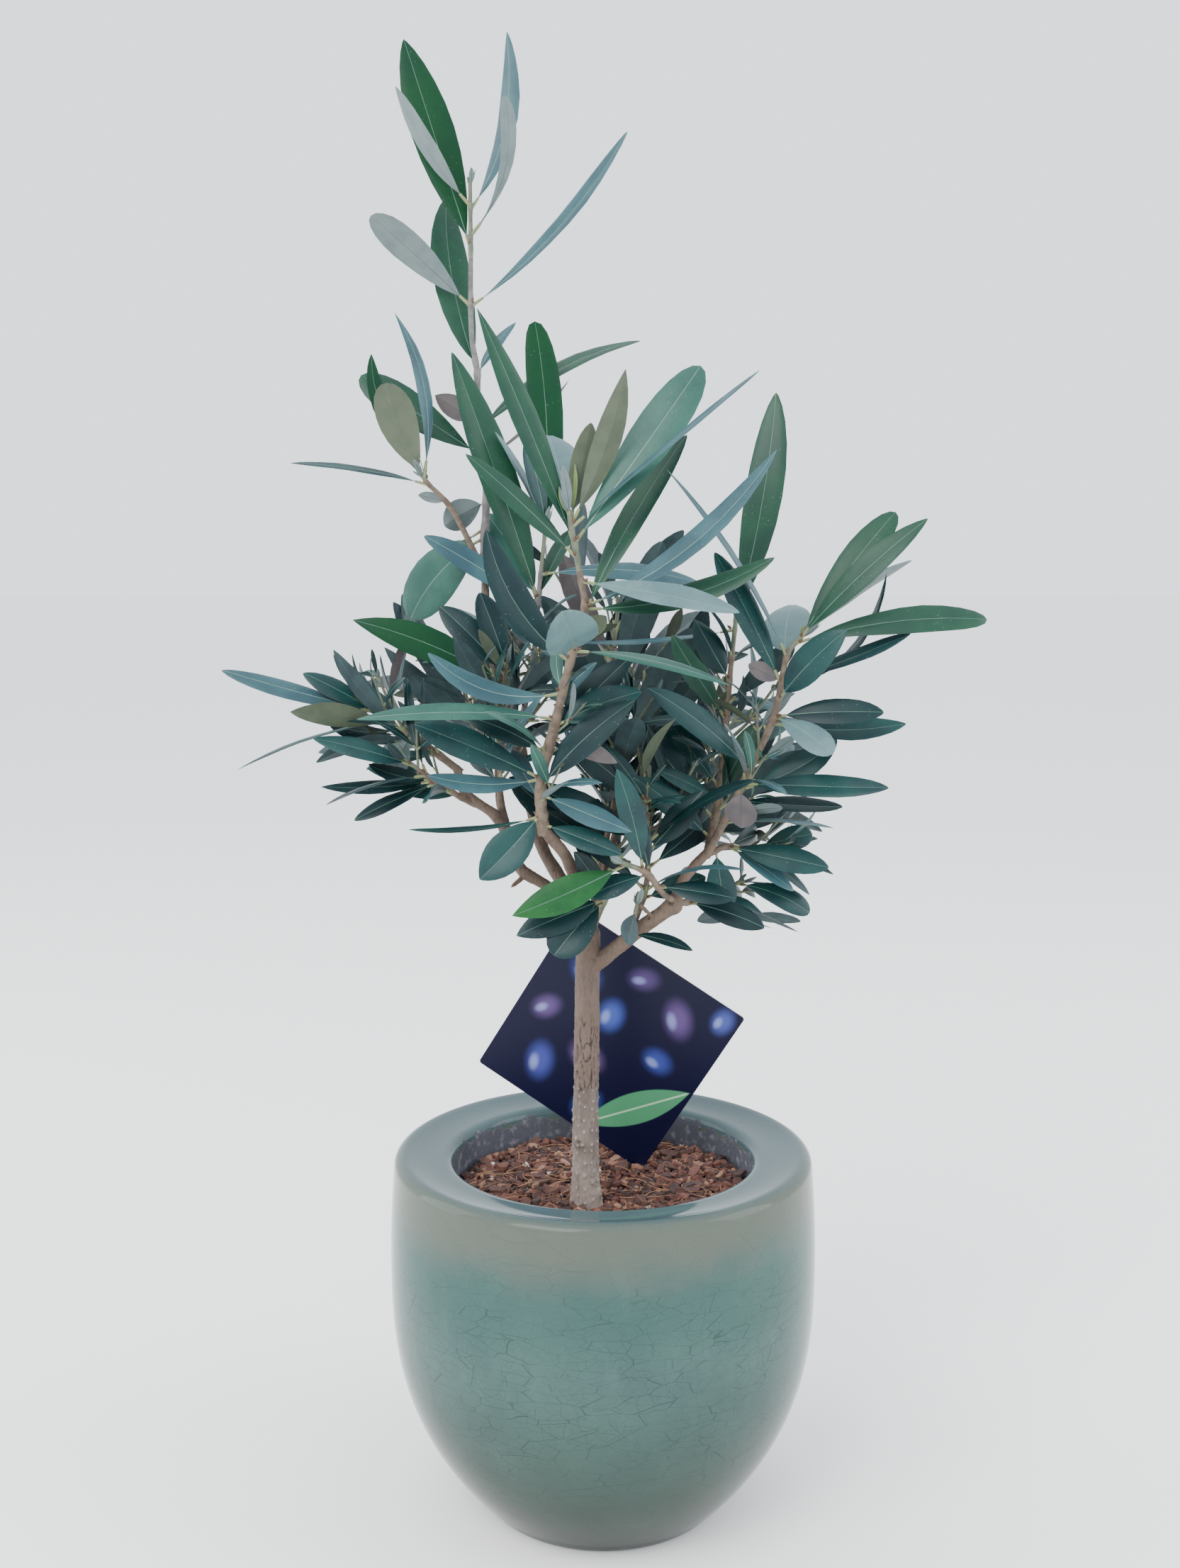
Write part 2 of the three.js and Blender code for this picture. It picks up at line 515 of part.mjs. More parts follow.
// Half of the pot's section: flat underside, swelling wall, round shoulder and a thick lip that turns in.
function makePot() {
  const outline = [[0, 0], [POT.foot - 1.5, 0], [potRadius(1.5), 1.5]];
  for (const z of [10, 23, 40, 62, 95, 115]) outline.push([potRadius(z), z]);
  const shoulder = POT.height - 4;
  for (let i = 0; i <= 3; i += 1) {
    const a = (Math.PI / 2) * (i / 3);
    outline.push([POT.ridge + (POT.shoulder - POT.ridge) * Math.cos(a), shoulder + 4 * Math.sin(a)]);
  }
  outline.push([65, POT.height - 0.4], [POT.mouth + 2, POT.mouthHeight + 0.3]);
  outline.push([POT.mouth, POT.mouthHeight - 2], [POT.mouth, POT.throat]);
  for (const z of [98, 62, 40, 23, POT.floor]) outline.push([potRadius(z) - POT.wall, z]);
  outline.push([0, POT.floor]);
  const geometry = new THREE.LatheGeometry(outline.map(([r, z]) => new THREE.Vector2(r, z)), POT.sides);
  addPart('pot', geometryOf(solidOf(geometry)), GLAZE).rotation.x = Math.PI / 2;
}

// The soil fills the pot up to a finger's width below the lip.
function makeSoil() {
  const outline = [[0, POT.floor + GAP]];
  for (const z of [POT.floor + GAP, 23, 40, 62, 98 - GAP]) {
    outline.push([potRadius(z) - POT.wall - 3 * GAP, z]);
  }
  outline.push([POT.mouth - GAP, POT.throat - GAP], [POT.mouth - GAP, SOIL_TOP], [0, SOIL_TOP]);
  const geometry = new THREE.LatheGeometry(outline.map(([r, z]) => new THREE.Vector2(r, z)), POT.sides);
  addPart('soil', geometryOf(solidOf(geometry)), EARTH).rotation.x = Math.PI / 2;
}

// A square card that stands on one corner on the soil, just behind the trunk.
function makeCard() {
  const outline = new THREE.Shape();
  const { side, corner } = CARD;
  outline.absarc(corner, corner, corner, Math.PI, 1.5 * Math.PI);
  outline.absarc(side - corner, corner, corner, 1.5 * Math.PI, 2 * Math.PI);
  outline.absarc(side - corner, side - corner, corner, 0, 0.5 * Math.PI);
  outline.absarc(corner, side - corner, corner, 0.5 * Math.PI, Math.PI);
  const sheet = { depth: CARD.thick, bevelEnabled: false, curveSegments: 2 };
  const geometry = new THREE.ExtrudeGeometry(outline, sheet);
  geometry.rotateZ(radians(45 + CARD.spin));
  geometry.rotateX(radians(90 + CARD.forward));
  geometry.rotateZ(radians(CARD.yaw));
  geometry.computeBoundingBox();
  geometry.translate(CARD.x, CARD.y, SOIL_TOP + GAP - geometry.boundingBox.min.z);
  const solid = solidOf(geometry);
  stand('plant_card', solid);
  addPart('plant_card', geometryOf(solid), PRINT);
}

// Each limb is cut back from the ones before it, so that it starts on their bark with a small gap.
const cutters = [];

function cutClear(solid, except) {
  let clear = solid;
  const box = solid.boundingBox();
  for (const cutter of cutters) {
    if (cutter.name !== except && boxesMeet(box, cutter.box)) clear = clear.subtract(cutter.solid);
  }
  const pieces = clear.decompose();
  return pieces.reduce((best, p) => (p.volume() > best.volume() ? p : best), pieces[0]);
}

function makeLimbs() {
  for (const limb of LIMBS) {
    const solid = cutClear(limbSolid(limb, 2, 0));
    const swollen = limbSolid(limb, 2, GAP);
    cutters.push({ name: limb.name, solid: swollen, box: swollen.boundingBox() });
    stand(limb.name, solid);
    addPart(limb.name, geometryOf(solid), BARK);
  }
}

function firstFree(tries, make, isFree) {
  for (const change of tries) {
    const made = make(change);
    if (isFree(made)) return made;
  }
  return null;
}

function makeShoots() {
  const grown = SHOOTS.map((shoot) => {
    const stem = { ...shoot, sides: 4 };
    const solid = cutClear(limbSolid(stem, 2, 0));
    const swollen = limbSolid(stem, 2, GAP);
    cutters.push({ name: shoot.name, solid: swollen, box: swollen.boundingBox() });
    stand(shoot.name, solid);
    const random = seededRandom(shoot.seed);
    return { shoot: { spread: 50, leaf: 40, turn: 0, from: 0, to: 1, ...shoot }, parts: [solid], random };
  });
  const growLeaf = (plant, tries, make) => {
    const leaf = firstFree(tries, make, (l) => leafIsFree(plant.shoot.name, l));
    if (leaf) {
      const solid = leafSolid(leaf, 0, 0);
      plant.parts.push(solid);
      stand(plant.shoot.name, solid);
    }
  };
  for (const plant of grown) {
    const { shoot, random } = plant;
    plant.twigs = [];
    for (const wish of twigWishes(shoot, random)) {
      const isFree = (t) => !meets(limbSolid(t, 2, GAP), standing.filter((o) => o.owner !== shoot.name));
      const twig = firstFree(TURN_TRIES, (more) => twigOf(shoot, wish, more), isFree);
      if (twig) {
        const solid = limbSolid(twig, 2, 0);
        plant.parts.push(solid);
        stand(shoot.name, solid);
        plant.twigs.push(twig);
      }
    }
  }
  for (const plant of grown) {
    for (const row of plant.shoot.leaves) {
      growLeaf(plant, LEAN_TRIES, (more) => statedLeaf(plant.shoot, row, more));
    }
  }
  for (const plant of grown) {
    for (const stem of [plant.shoot, ...plant.twigs]) {
      for (const wish of pairWishes(stem, plant.random)) {
        growLeaf(plant, TURN_TRIES, (more) => wishedLeaf(stem, wish, more));
      }
    }
  }
  for (const plant of grown) {
    const joined = wasm.Manifold.union(plant.parts);
    addPart(plant.shoot.name, geometryOf(cutClear(joined, plant.shoot.name)), FOLIAGE);
  }
}

makePot();
makeSoil();
makeCard();
makeLimbs();
makeShoots();

export default tree;
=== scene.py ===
import math

import bpy
import numpy as np
from mathutils import Matrix, Vector, noise
from mathutils.bvhtree import BVHTree


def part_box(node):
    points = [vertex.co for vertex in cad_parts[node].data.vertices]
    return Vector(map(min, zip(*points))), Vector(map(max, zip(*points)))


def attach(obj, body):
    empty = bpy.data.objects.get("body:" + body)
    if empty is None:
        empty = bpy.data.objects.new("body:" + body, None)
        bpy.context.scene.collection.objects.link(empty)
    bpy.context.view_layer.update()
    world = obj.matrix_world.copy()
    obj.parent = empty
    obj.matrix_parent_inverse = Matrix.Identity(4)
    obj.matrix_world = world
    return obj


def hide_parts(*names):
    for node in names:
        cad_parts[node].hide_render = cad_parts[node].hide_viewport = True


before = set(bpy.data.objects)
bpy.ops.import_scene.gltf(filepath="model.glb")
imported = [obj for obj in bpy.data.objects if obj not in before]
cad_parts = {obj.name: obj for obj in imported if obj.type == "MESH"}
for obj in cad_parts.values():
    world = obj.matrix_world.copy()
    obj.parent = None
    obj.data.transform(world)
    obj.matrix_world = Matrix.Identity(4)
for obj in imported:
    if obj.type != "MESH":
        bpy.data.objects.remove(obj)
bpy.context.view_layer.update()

MM = 0.001
GAP = 0.3

# Camera, as in the photograph: its height and focal length in pixels, its angles in radians
PHOTO_HEIGHT = 2212
FOCAL_PIXELS = 2330
SENSOR = 36
EYE = (0, -602, 347)
PITCH = 0.1218
YAW = -0.0078
ROLL = -0.0013

# Pot, soil and card
POT = dict(
    height=135.4, foot=44.5, belly=80, belly_height=95, shoulder=78.3, swell=2.75,
    ridge=74.3, mouth=56.2, mouth_height=133.2, throat=112, wall=8, floor=10,
    rounding=4,
)
POT_SIDES = 144
SOIL_TOP = 120
SOIL_RADIUS = 55.6
CARD = dict(side=76, thick=0.6, corner=1.2, x=15, y=18, spin=12.8, yaw=-12, forward=4.6)

# Trunk and boughs: radii at foot and tip, and the places on the middle line
LIMBS = [
    dict(
        name="trunk", foot=4.9, tip=4.3, flare=1.5, sides=12,
        path=[
            (-6, -22, SOIL_TOP + GAP), (-6.3, -21.5, 150), (-5.7, -20.5, 185), (-5.5, -19, 212),
            (-5, -18, 222),
        ],
    ),
    dict(
        name="right_bough", foot=2.9, tip=2.7, flare=0.8, sides=8,
        path=[(-5, -19.5, 209), (3, -21, 215), (11, -24, 222.5), (19, -26, 229), (25.5, -27, 234)],
    ),
    dict(
        name="right_rise", foot=2.2, tip=1.8, flare=0, sides=7,
        path=[(25.5, -27, 234), (29, -22, 242), (38, -16, 251)],
    ),
    dict(
        name="front_bough", foot=2.7, tip=1.9, flare=0.3, sides=8,
        path=[(-5, -18, 222), (-8, -29, 238), (-13, -38, 253), (-20.5, -43, 263)],
    ),
    dict(
        name="leader_bough", foot=2.8, tip=1.6, flare=0.3, sides=8,
        path=[
            (-5, -18, 222), (-15, -5, 238), (-24, 2, 254), (-32, 8, 293), (-42, 12, 326), (-44, 15, 357),
        ],
    ),
    dict(
        name="left_bough", foot=2.4, tip=1.6, flare=0.3, sides=8,
        path=[
            (-5, -18, 221), (-19, -20, 238), (-30, -20, 246), (-37, -20, 263), (-49, -18, 272),
            (-52, -18, 281),
        ],
    ),
    dict(
        name="left_back_bough", foot=1.8, tip=1.3, flare=0.2, sides=6,
        path=[(-31, -20, 248), (-38, 0, 268), (-38, 18, 288), (-30, 22, 298)],
    ),
    dict(
        name="back_bough", foot=2.5, tip=1.7, flare=0.3, sides=8,
        path=[(-5, -18, 221), (-1, 0, 234), (5, 18, 250), (8, 30, 268)],
    ),
]

# Shoots: stems with stated leaves, and with pairs of leaves and twigs by rule from start to end
BARE_SHOOT = dict(pairs=0, twigs=0, turn=0, start=0, end=1, spread=50, leaf=40, leaves=())
SHOOTS = [
    dict(
        name="leader_shoot", seed=11, foot=1.5, tip=0.7,
        path=[
            (-44, 15, 357), (-43, 16, 383), (-46, 16, 402), (-46, 17, 423), (-48, 17, 438),
            (-48, 18, 468), (-48, 18, 490),
        ],
        leaves=[
            (0.94, -33, 8, 48, 12, 120, -0.07), (0.93, 11, -12, 69, 12, 48, -0.12),
            (0.83, -18, -8, 86, 16.5, 15, 0.02), (0.86, 16, 12, 49, 7, 140, -0.1, 0.1),
            (0.72, -49, 12, 47, 13, 145), (0.72, 43, 0, 84, 10, 52, -0.08),
            (0.5, -11, -22, 75, 14.5, 20, 0.04, 0.07), (0.49, 35, -12, 25, 8, 55),
            (0.36, -58, 5, 18, 9, 160), (0.33, 59, -20, 75, 11, 54, 0.07),
            (0.24, 46, -20, 47, 6, 100, -0.05), (0.25, -56, -5, 56, 14.5, 25),
            (0.04, -136, 12, 43, 19, 15, 0.05, -0.08), (0.12, -120, 25, 18, 12, 150),
            (0.06, -150, -15, 72, 8.5, 50, 0.05, -0.15),
        ],
    ),
    dict(
        name="left_upper_shoot", seed=12, foot=1.2, tip=0.6,
        path=[(-44, 14, 351), (-55, 10, 373), (-63, 6, 382), (-65, 5, 385)],
        leaves=[
            (0.8, -20, 16, 37, 15, 165, 0.05, -0.08), (0.95, -10, -4, 60, 8.5, 60, 0.125),
            (0.66, -81, 0, 51, 8, 70, 0.03), (0.72, -25, -24, 59, 7.5, 40, 0, 0.1),
            (0.4, -75, 15, 11, 4.5, 150),
        ],
    ),
    dict(
        name="front_shoot", seed=13, foot=1.9, tip=0.8, pairs=3, start=0.1, end=0.42, turn=20,
        spread=60,
        path=[
            (-20.5, -43, 263), (-21, -44, 279), (-16, -46, 300), (-10, -48, 324), (-6, -48, 337),
            (-8, -49, 352), (-11, -50, 369),
        ],
        leaves=[
            (0.97, 20, 10, 53, 9.5, 165, 0.05, 0.06), (0.98, 12, -5, 33, 9, 160),
            (0.91, 35.5, -5, 74, 16, 20), (0.96, 51, 5, 79, 8.5, 78, 0), (0.98, -15, -50, 50, 18, 20),
            (0.86, -47, 5, 50, 8.5, 35, 0.03), (0.9, -22.5, -8, 84, 10, 30, 0),
            (0.51, -12, 75, 52, 18, 12), (0.78, 101, 25, 57, 12, 50, 0.02),
            (0.68, 75, 5, 65, 10, 40, -0.06, -0.05), (0.66, 30, -15, 72, 11, 35, 0.01),
            (0.69, 51, 10, 81, 10, 46, -0.06, -0.05), (0.5, 102, 10, 54, 8, 66),
            (0.47, -32, 5, 52, 12.5, 25, 0.05, 0.11), (0.4, -73, 5, 47, 9, 40, -0.1, 0.1),
            (0.52, 47, 20, 17, 9, 150), (0.15, 46, 15, 46, 12, 30), (0.32, 68, 5, 32, 11, 25),
            (0.29, 109, 20, 24, 9, 140), (0.13, 111, 12, 34, 8.5, 35), (0.02, 109, 10, 30, 8.5, 35),
            (0.06, -136, 15, 31, 14, 15), (0.18, -66, 5, 47, 11.5, 25, 0.02),
            (0.18, -87, 10, 39, 8, 45, -0.06, 0.03), (0.34, -89, 12, 67, 9, 55),
            (0.25, -66, -5, 32, 9, 35), (0.05, -96, 0, 46, 5.5, 76, -0.06), (0.27, 43, 0, 42, 12, 25),
        ],
    ),
    dict(
        name="upright_shoot", seed=14, foot=1.2, tip=0.7, pairs=3, start=0.12, end=0.5, turn=45,
        spread=55, leaf=45,
        path=[(-30, 22, 298), (-26, 18, 318), (-24, 14, 340), (-21, 12, 367)],
        leaves=[
            (0.67, -19, -5, 95, 15, 25, 0.03), (0.66, -31, -10, 40, 14, 20), (0.67, 26, -10, 30, 8, 40),
            (0.99, -3, -14, 77, 13, 12), (0.97, -26, 5, 41, 7, 70), (1, -13, 0, 32, 9, 40),
            (0.79, 93, -8, 60, 10, 50, 0.09), (0.34, -92, 0, 42, 8, 60),
            (0.64, -58, 9, 49, 9.5, 30, 0.04),
        ],
    ),
    dict(
        name="middle_right_shoot", seed=15, foot=1.5, tip=0.8, pairs=4, start=0.2, end=0.8, turn=30,
        spread=55, leaf=42, twigs=1,
        path=[(38, -14, 252), (42, -6, 268), (45, 2, 293), (47, 6, 315), (49, 8, 334)],
        leaves=[
            (0.99, 10, -5, 84, 14, 15, 0.05, -0.045), (0.94, -94, -5, 65, 7, 76, -0.03),
            (0.54, -33, 0, 37, 10, 20), (0.7, -30, -10, 26, 11, 20), (0.62, 100, -10, 19, 8, 60),
            (0.15, -39, 8, 46, 12, 20), (0.3, -38, -10, 36, 12, 25), (0.25, -60, 18, 33, 8, 50),
            (0.05, -50, 15, 40, 10, 25), (0.26, 27, -10, 30, 10, 25),
        ],
    ),
    dict(
        name="upper_right_shoot", seed=16, foot=1.6, tip=0.8, pairs=3, start=0.2, end=0.55, turn=70,
        spread=60,
        path=[
            (38, -17, 251), (43, -20, 262), (50, -22, 277), (60, -24, 300), (64, -26, 321),
            (69, -26, 328),
        ],
        leaves=[
            (0.96, 46, 5, 60, 10, 30, 0.07), (0.96, 38, -10, 57, 12, 25),
            (0.91, 83, 0, 67, 11, 35, 0.07), (0.98, 56, -10, 49, 8, 125),
            (0.8, -34, 5, 78, 7.5, 70, 0.04), (0.7, -28, 8, 52, 10.5, 25, 0),
            (0.69, 43, 8, 54, 7, 76, -0.18), (0.65, 41, 10, 36, 13, 30),
            (0.71, 69, -10, 47, 7.5, 56, -0.05), (0.71, -63, 10, 13, 7, 160), (0.6, 87, 10, 38, 10, 30),
            (0.58, 91, -8, 49, 10, 42, -0.05), (0.6, 122, 30, 27, 11, 35, 0.07),
            (0.79, 17, -58, 36, 17, 25), (0.37, 62, 5, 38, 11, 35, -0.06, -0.04),
            (0.39, 89, 10, 52, 10, 42, 0), (0.44, -51, 12, 48, 11, 30),
            (0.32, 95, -10, 40, 8.5, 56, -0.05), (0.37, 182, 20, 16, 12, 170),
        ],
    ),
    dict(
        name="right_side_shoot", seed=17, foot=1.3, tip=0.6, pairs=3, start=0.35, turn=10,
        path=[(38, -16, 250), (44, -13, 252), (52, -10, 251), (60, -8, 252)],
        leaves=[
            (0.38, 100, 12, 37, 10, 25), (0.86, 77, -8, 20, 9, 20), (0.41, 124, 8, 28, 8, 50),
            (0.64, 126, -5, 30, 7, 62), (0.15, 172, 45, 22, 12, 20), (0.91, 113, -15, 25, 8, 40),
        ],
    ),
    dict(
        name="right_low_shoot", seed=41, foot=1.3, tip=0.6, pairs=3, start=0.3, turn=40, spread=55,
        twigs=1,
        path=[(25.5, -27, 234), (33, -22, 234), (42, -14, 235), (50, -6, 238)],
        leaves=[
            (0.2, 106, 15, 29, 9, 30), (0.62, 118, -14, 22, 8, 40), (0.95, 112, 0, 29, 9.5, 35, 0.08),
        ],
    ),
    dict(
        name="knob_shoot", seed=19, foot=1.2, tip=0.9,
        path=[(25.5, -28, 235), (21, -34, 239), (15, -38, 247), (7, -42, 251)],
        leaves=[
            (0.96, -113, 10, 43, 12, 15), (0.72, -14, 15, 39, 9.5, 15), (0.62, -109, 10, 23, 9, 40),
            (0.45, 97, 10, 27, 9, 40), (0.6, -20, -12, 30, 9, 30),
        ],
    ),
    dict(
        name="left_shoot", seed=20, foot=1.4, tip=0.7, pairs=5, start=0.15, end=0.95, turn=60, twigs=1,
        path=[(-52, -18, 281), (-65, -18, 291), (-73, -17, 295), (-82, -16, 302)],
        leaves=[
            (0.95, -74, 5, 56, 8.5, 50, 0.02), (0.93, -61, -10, 30, 8.5, 40),
            (0.71, -35, -5, 18, 8, 30), (0.81, -108, 0, 57, 6, 84), (0.67, -86, 5, 26, 8, 52, -0.1),
            (0.45, -158, 35, 18, 9, 160),
        ],
    ),
    dict(
        name="left_low_shoot", seed=21, foot=1.2, tip=0.6, pairs=3, start=0.3, turn=20, leaf=38,
        path=[(-47, -19, 269), (-54, -25, 274), (-62, -28, 280), (-68, -30, 285)],
        leaves=[
            (0.15, -82, -5, 22, 8, 40), (0.57, -75, 5, 23, 8, 50, -0.12),
            (0.54, -93, 0, 40, 7.5, 55, -0.05), (0.5, -114, 5, 32, 7.5, 50, 0),
            (0.88, -74, 5, 36, 9, 45),
        ],
    ),
    dict(
        name="left_inner_shoot", seed=22, foot=1.2, tip=0.6, pairs=6, start=0.3, end=0.95, turn=35,
        spread=55, leaf=42, twigs=1,
        path=[(-36, -19, 261), (-37, -13, 277), (-36, -8, 296), (-35, -4, 317)],
        leaves=[
            (0.9, -67, 5, 59, 12.5, 20), (0.95, -45, -10, 35, 11, 25), (1, -20, -5, 28, 11, 25),
            (0.74, -54, 0, 37, 9, 35),
        ],
    ),
    dict(
        name="centre_shoot", seed=23, foot=1.4, tip=0.7, pairs=7, start=0.22, turn=15, spread=58,
        leaf=50, twigs=2,
        path=[(-5, -17, 221), (-1, -15, 245), (4, -12, 268), (7, -10, 300)],
    ),
    dict(
        name="inner_low_shoot", seed=30, foot=1.2, tip=0.6, pairs=6, start=0.25, turn=60, spread=60,
        leaf=46, twigs=1,
        path=[(10, -23, 223), (15, -24, 238), (16, -25, 252), (15, -24, 270), (13, -22, 286)],
        leaves=[(0.5, 40, 10, 30, 10, 25), (0.75, -50, 10, 36, 11, 20), (0.2, 75, 10, 26, 9, 25)],
    ),
    dict(
        name="fork_shoot", seed=24, foot=1.3, tip=0.9,
        path=[(-5, -19, 221), (-2, -28, 229), (1, -34, 237)],
        leaves=[(1, -110, 15, 34, 12, 25), (0.95, -134, 25, 27, 14.5, 20), (0.9, -28, 22, 24, 9, 40)],
    ),
    dict(
        name="bough_sprig", seed=25, foot=0.9, tip=0.6,
        path=[(8, -24, 219.5), (10, -31, 225), (12, -33, 235)],
        leaves=[(0.4, 105, 0, 23, 7, 66), (0.9, -165, 12, 14, 8, 150)],
    ),
    dict(
        name="back_low_shoot", seed=26, foot=1.5, tip=0.7, pairs=6, start=0.2, spread=55, leaf=52,
        twigs=2,
        path=[(8, 30, 268), (14, 44, 276), (20, 58, 288), (24, 68, 304)],
    ),
    dict(
        name="back_top_shoot", seed=27, foot=1.5, tip=0.7, pairs=6, start=0.25, turn=50, spread=45,
        leaf=58, twigs=2,
        path=[(8, 30, 268), (8, 36, 290), (4, 40, 314), (6, 42, 338)],
    ),
    dict(
        name="back_left_shoot", seed=28, foot=1.4, tip=0.7, pairs=6, start=0.25, turn=20, spread=52,
        leaf=52, twigs=2,
        path=[(-38, 14, 283), (-46, 30, 288), (-52, 44, 298), (-58, 54, 312)],
    ),
    dict(
        name="back_right_shoot", seed=29, foot=1.4, tip=0.7, pairs=6, start=0.3, turn=80, spread=52,
        leaf=52, twigs=2,
        path=[(2, 10, 243), (18, 22, 252), (36, 32, 264), (50, 40, 282)],
    ),
]

for entry in SHOOTS:
    entry.update({**BARE_SHOOT, **entry})
for entry in LIMBS + SHOOTS:
    entry["path"] = [Vector(place) for place in entry["path"]]

# The rule's own sizes, as for the solids
RULE = dict(
    jitter=24, spread_jitter=14, droop=0.12, steepest=-0.2, to_sky=0.5, to_open=1.3, roll_jitter=50,
    width_share=0.2, width_jitter=0.06, arch=0.03, arch_jitter=0.06, length_jitter=0.26, end_leaf=0.62,
    largest_at=0.45, size_fall=1.1, foot_spread=1.1, spread_fall=0.35,
)
TWIG = dict(
    length=0.55, length_jitter=0.2, reach=0.9, turn=45, turn_jitter=60, rise=40, bow=0.1, bow_jitter=0.1,
    radius=0.75, tip=0.5, pairs=2, start=0.55, leaf=0.72,
)
LEAF = dict(thick=0.013, least_thick=0.7, root=0.55, above=0.35, below=0.65, own_gap=0.1, own_start=0.16)
PLAIN_ARCH = 0.05
FLARE_REACH = 0.06
LONG_BLADE = dict(stations=(0, 0.31, 0.7), shares=(0, 0.94, 0.92))
PLAIN_BLADE = dict(stations=(0, 0.5), shares=(0, 1))
LEAN_TRIES = (0, 6, -6, 12, -12, 18, -18, 26, -26, 34, -34)
TURN_TRIES = (0, 15, -15, 30, -30, 45, -45)
RULE_STEPS = 20

# The finer growth that only the looks have: sprigs beside the pairs, and young leaves at each tip
SPRIG = dict(
    seed=500, per_pair=0.55, before=0.03, turn=40, turn_jitter=50, length=15, shortest=0.6,
    length_jitter=0.7, rise=48, lift=0.25, curl=0.12, radius=0.55, tip=0.35, pairs=2, start=0.5,
    pair_turn=30, leaf=0.5, spread=50, margin=2,
)
TIP_LEAVES = dict(
    count=4, length=11, width=2.6, spread=16, least_spread=0.6, spread_jitter=0.9, turn_jitter=40,
    inner=0.6, sunk=0.8, arch=-0.05,
)

UP = Vector((0, 0, 1))
TO_VIEWER = Vector((0, -1, 0))
MASK = 0xFFFFFFFF


# Small maths of places and curves, and a random row that a seed fixes
def mix(a, b, share):
    return a + (b - a) * share


def nearest(value):
    return math.floor(value + 0.5)


def across(vector, axis):
    return (vector - axis * vector.dot(axis)).normalized()


def turned(vector, axis, degrees):
    return Matrix.Rotation(math.radians(degrees), 3, axis) @ vector


def heading(clock, lean):
    c = math.radians(clock)
    lean = math.radians(lean)
    return Vector((math.sin(c) * math.cos(lean), -math.sin(lean), math.cos(c) * math.cos(lean)))


def seeded_random(seed):
    state = seed

    def draw():
        nonlocal state
        state = (state + 0x6D2B79F5) & MASK
        t = ((state ^ (state >> 15)) * (1 | state)) & MASK
        t = ((t + (((t ^ (t >> 7)) * (61 | t)) & MASK)) & MASK) ^ t
        return (t ^ (t >> 14)) / (MASK + 1)

    return draw


def curve_point(path, share):
    spans = len(path) - 1
    k = min(int(share * spans), spans - 1)
    w = share * spans - k
    p1, p2 = path[k], path[k + 1]
    p0 = path[k - 1] if k > 0 else p1 * 2 - p2
    p3 = path[k + 2] if k + 2 <= spans else p2 * 2 - p1
    t0, t1 = (p2 - p0) * 0.5, (p3 - p1) * 0.5
    curved = (p2 - p1) * 3 - t0 * 2 - t1
    closing = (p1 - p2) * 2 + t0 + t1
    return p1 + t0 * w + curved * w**2 + closing * w**3


def path_length(path):
    return sum((b - a).length for a, b in zip(path, path[1:]))


def curve_tangent(path, share):
    step = 0.0001
    ahead = curve_point(path, min(share + step, 1))
    return (ahead - curve_point(path, max(share - step, 0))).normalized()


def frames_along(path, steps):
    """Frames carried along a path without twist, as (place, tangent, side, up)."""
    frames = []
    side = None
    for i in range(steps + 1):
        tangent = curve_tangent(path, i / steps)
        if side is None:
            side = Vector((1, 0, 0)) if abs(tangent.y) > 0.9 else TO_VIEWER
        side = across(side, tangent)
        frames.append((curve_point(path, i / steps), tangent, side, tangent.cross(side)))
    return frames


# Plain forms that keep the plant's parts clear of each other, as in the solids
def loft_faces(sides, rings, pointed):
    faces = [(0, s, s - 1) for s in range(2, sides)]
    for r in range(rings - 1):
        for s in range(sides):
            a = r * sides + s
            b = r * sides + (s + 1) % sides
            faces += [(a, b, b + sides), (a, b + sides, a + sides)]
    last = (rings - 1) * sides
    if pointed:
        faces += [(last + s, last + (s + 1) % sides, last + sides) for s in range(sides)]
    else:
        faces += [(last, last + s - 1, last + s) for s in range(2, sides)]
    return faces


def plain_form(corners, faces):
    low = Vector([min(c[k] for c in corners) for k in range(3)])
    high = Vector([max(c[k] for c in corners) for k in range(3)])
    return dict(tree=BVHTree.FromPolygons(corners, faces, all_triangles=True), low=low, high=high)


def limb_radius(limb, share):
    return mix(limb["foot"], limb["tip"], share) + limb.get("flare", 0) * math.exp(-share / FLARE_REACH)


def limb_form(limb, swell):
    steps = (len(limb["path"]) - 1) * 2
    sides = limb["sides"]
    corners = []
    for i, (at, tangent, side, up) in enumerate(frames_along(limb["path"], steps)):
        radius = limb_radius(limb, i / steps) + swell
        push = (swell if i == steps else 0) - (swell if i == 0 else 0)
        for s in range(sides):
            angle = math.tau * s / sides
            outward = side * math.cos(angle) + up * math.sin(angle)
            corners.append(at + tangent * push + outward * radius)
    return plain_form(corners, loft_faces(sides, steps + 1, False))


def leaf_form(leaf, swell, first):
    side = leaf["face"].cross(leaf["aim"])
    depth = max(LEAF["least_thick"], LEAF["thick"] * leaf["length"])
    stations, shares = leaf["blade"]["stations"], leaf["blade"]["shares"]
    corners = []
    for i, station in enumerate(stations):
        middle = leaf_place(leaf, first if i == 0 else station)
        half = max(mix(LEAF["root"], leaf["width"] / 2, shares[i]), LEAF["root"]) + swell
        top = middle + leaf["face"] * (LEAF["above"] * depth + swell)
        bottom = middle - leaf["face"] * (LEAF["below"] * depth + swell)
        corners += [top + side * half, top - side * half, bottom]
    corners.append(leaf_place(leaf, 1) + leaf["aim"] * swell)
    return plain_form(corners, loft_faces(3, len(stations), True))


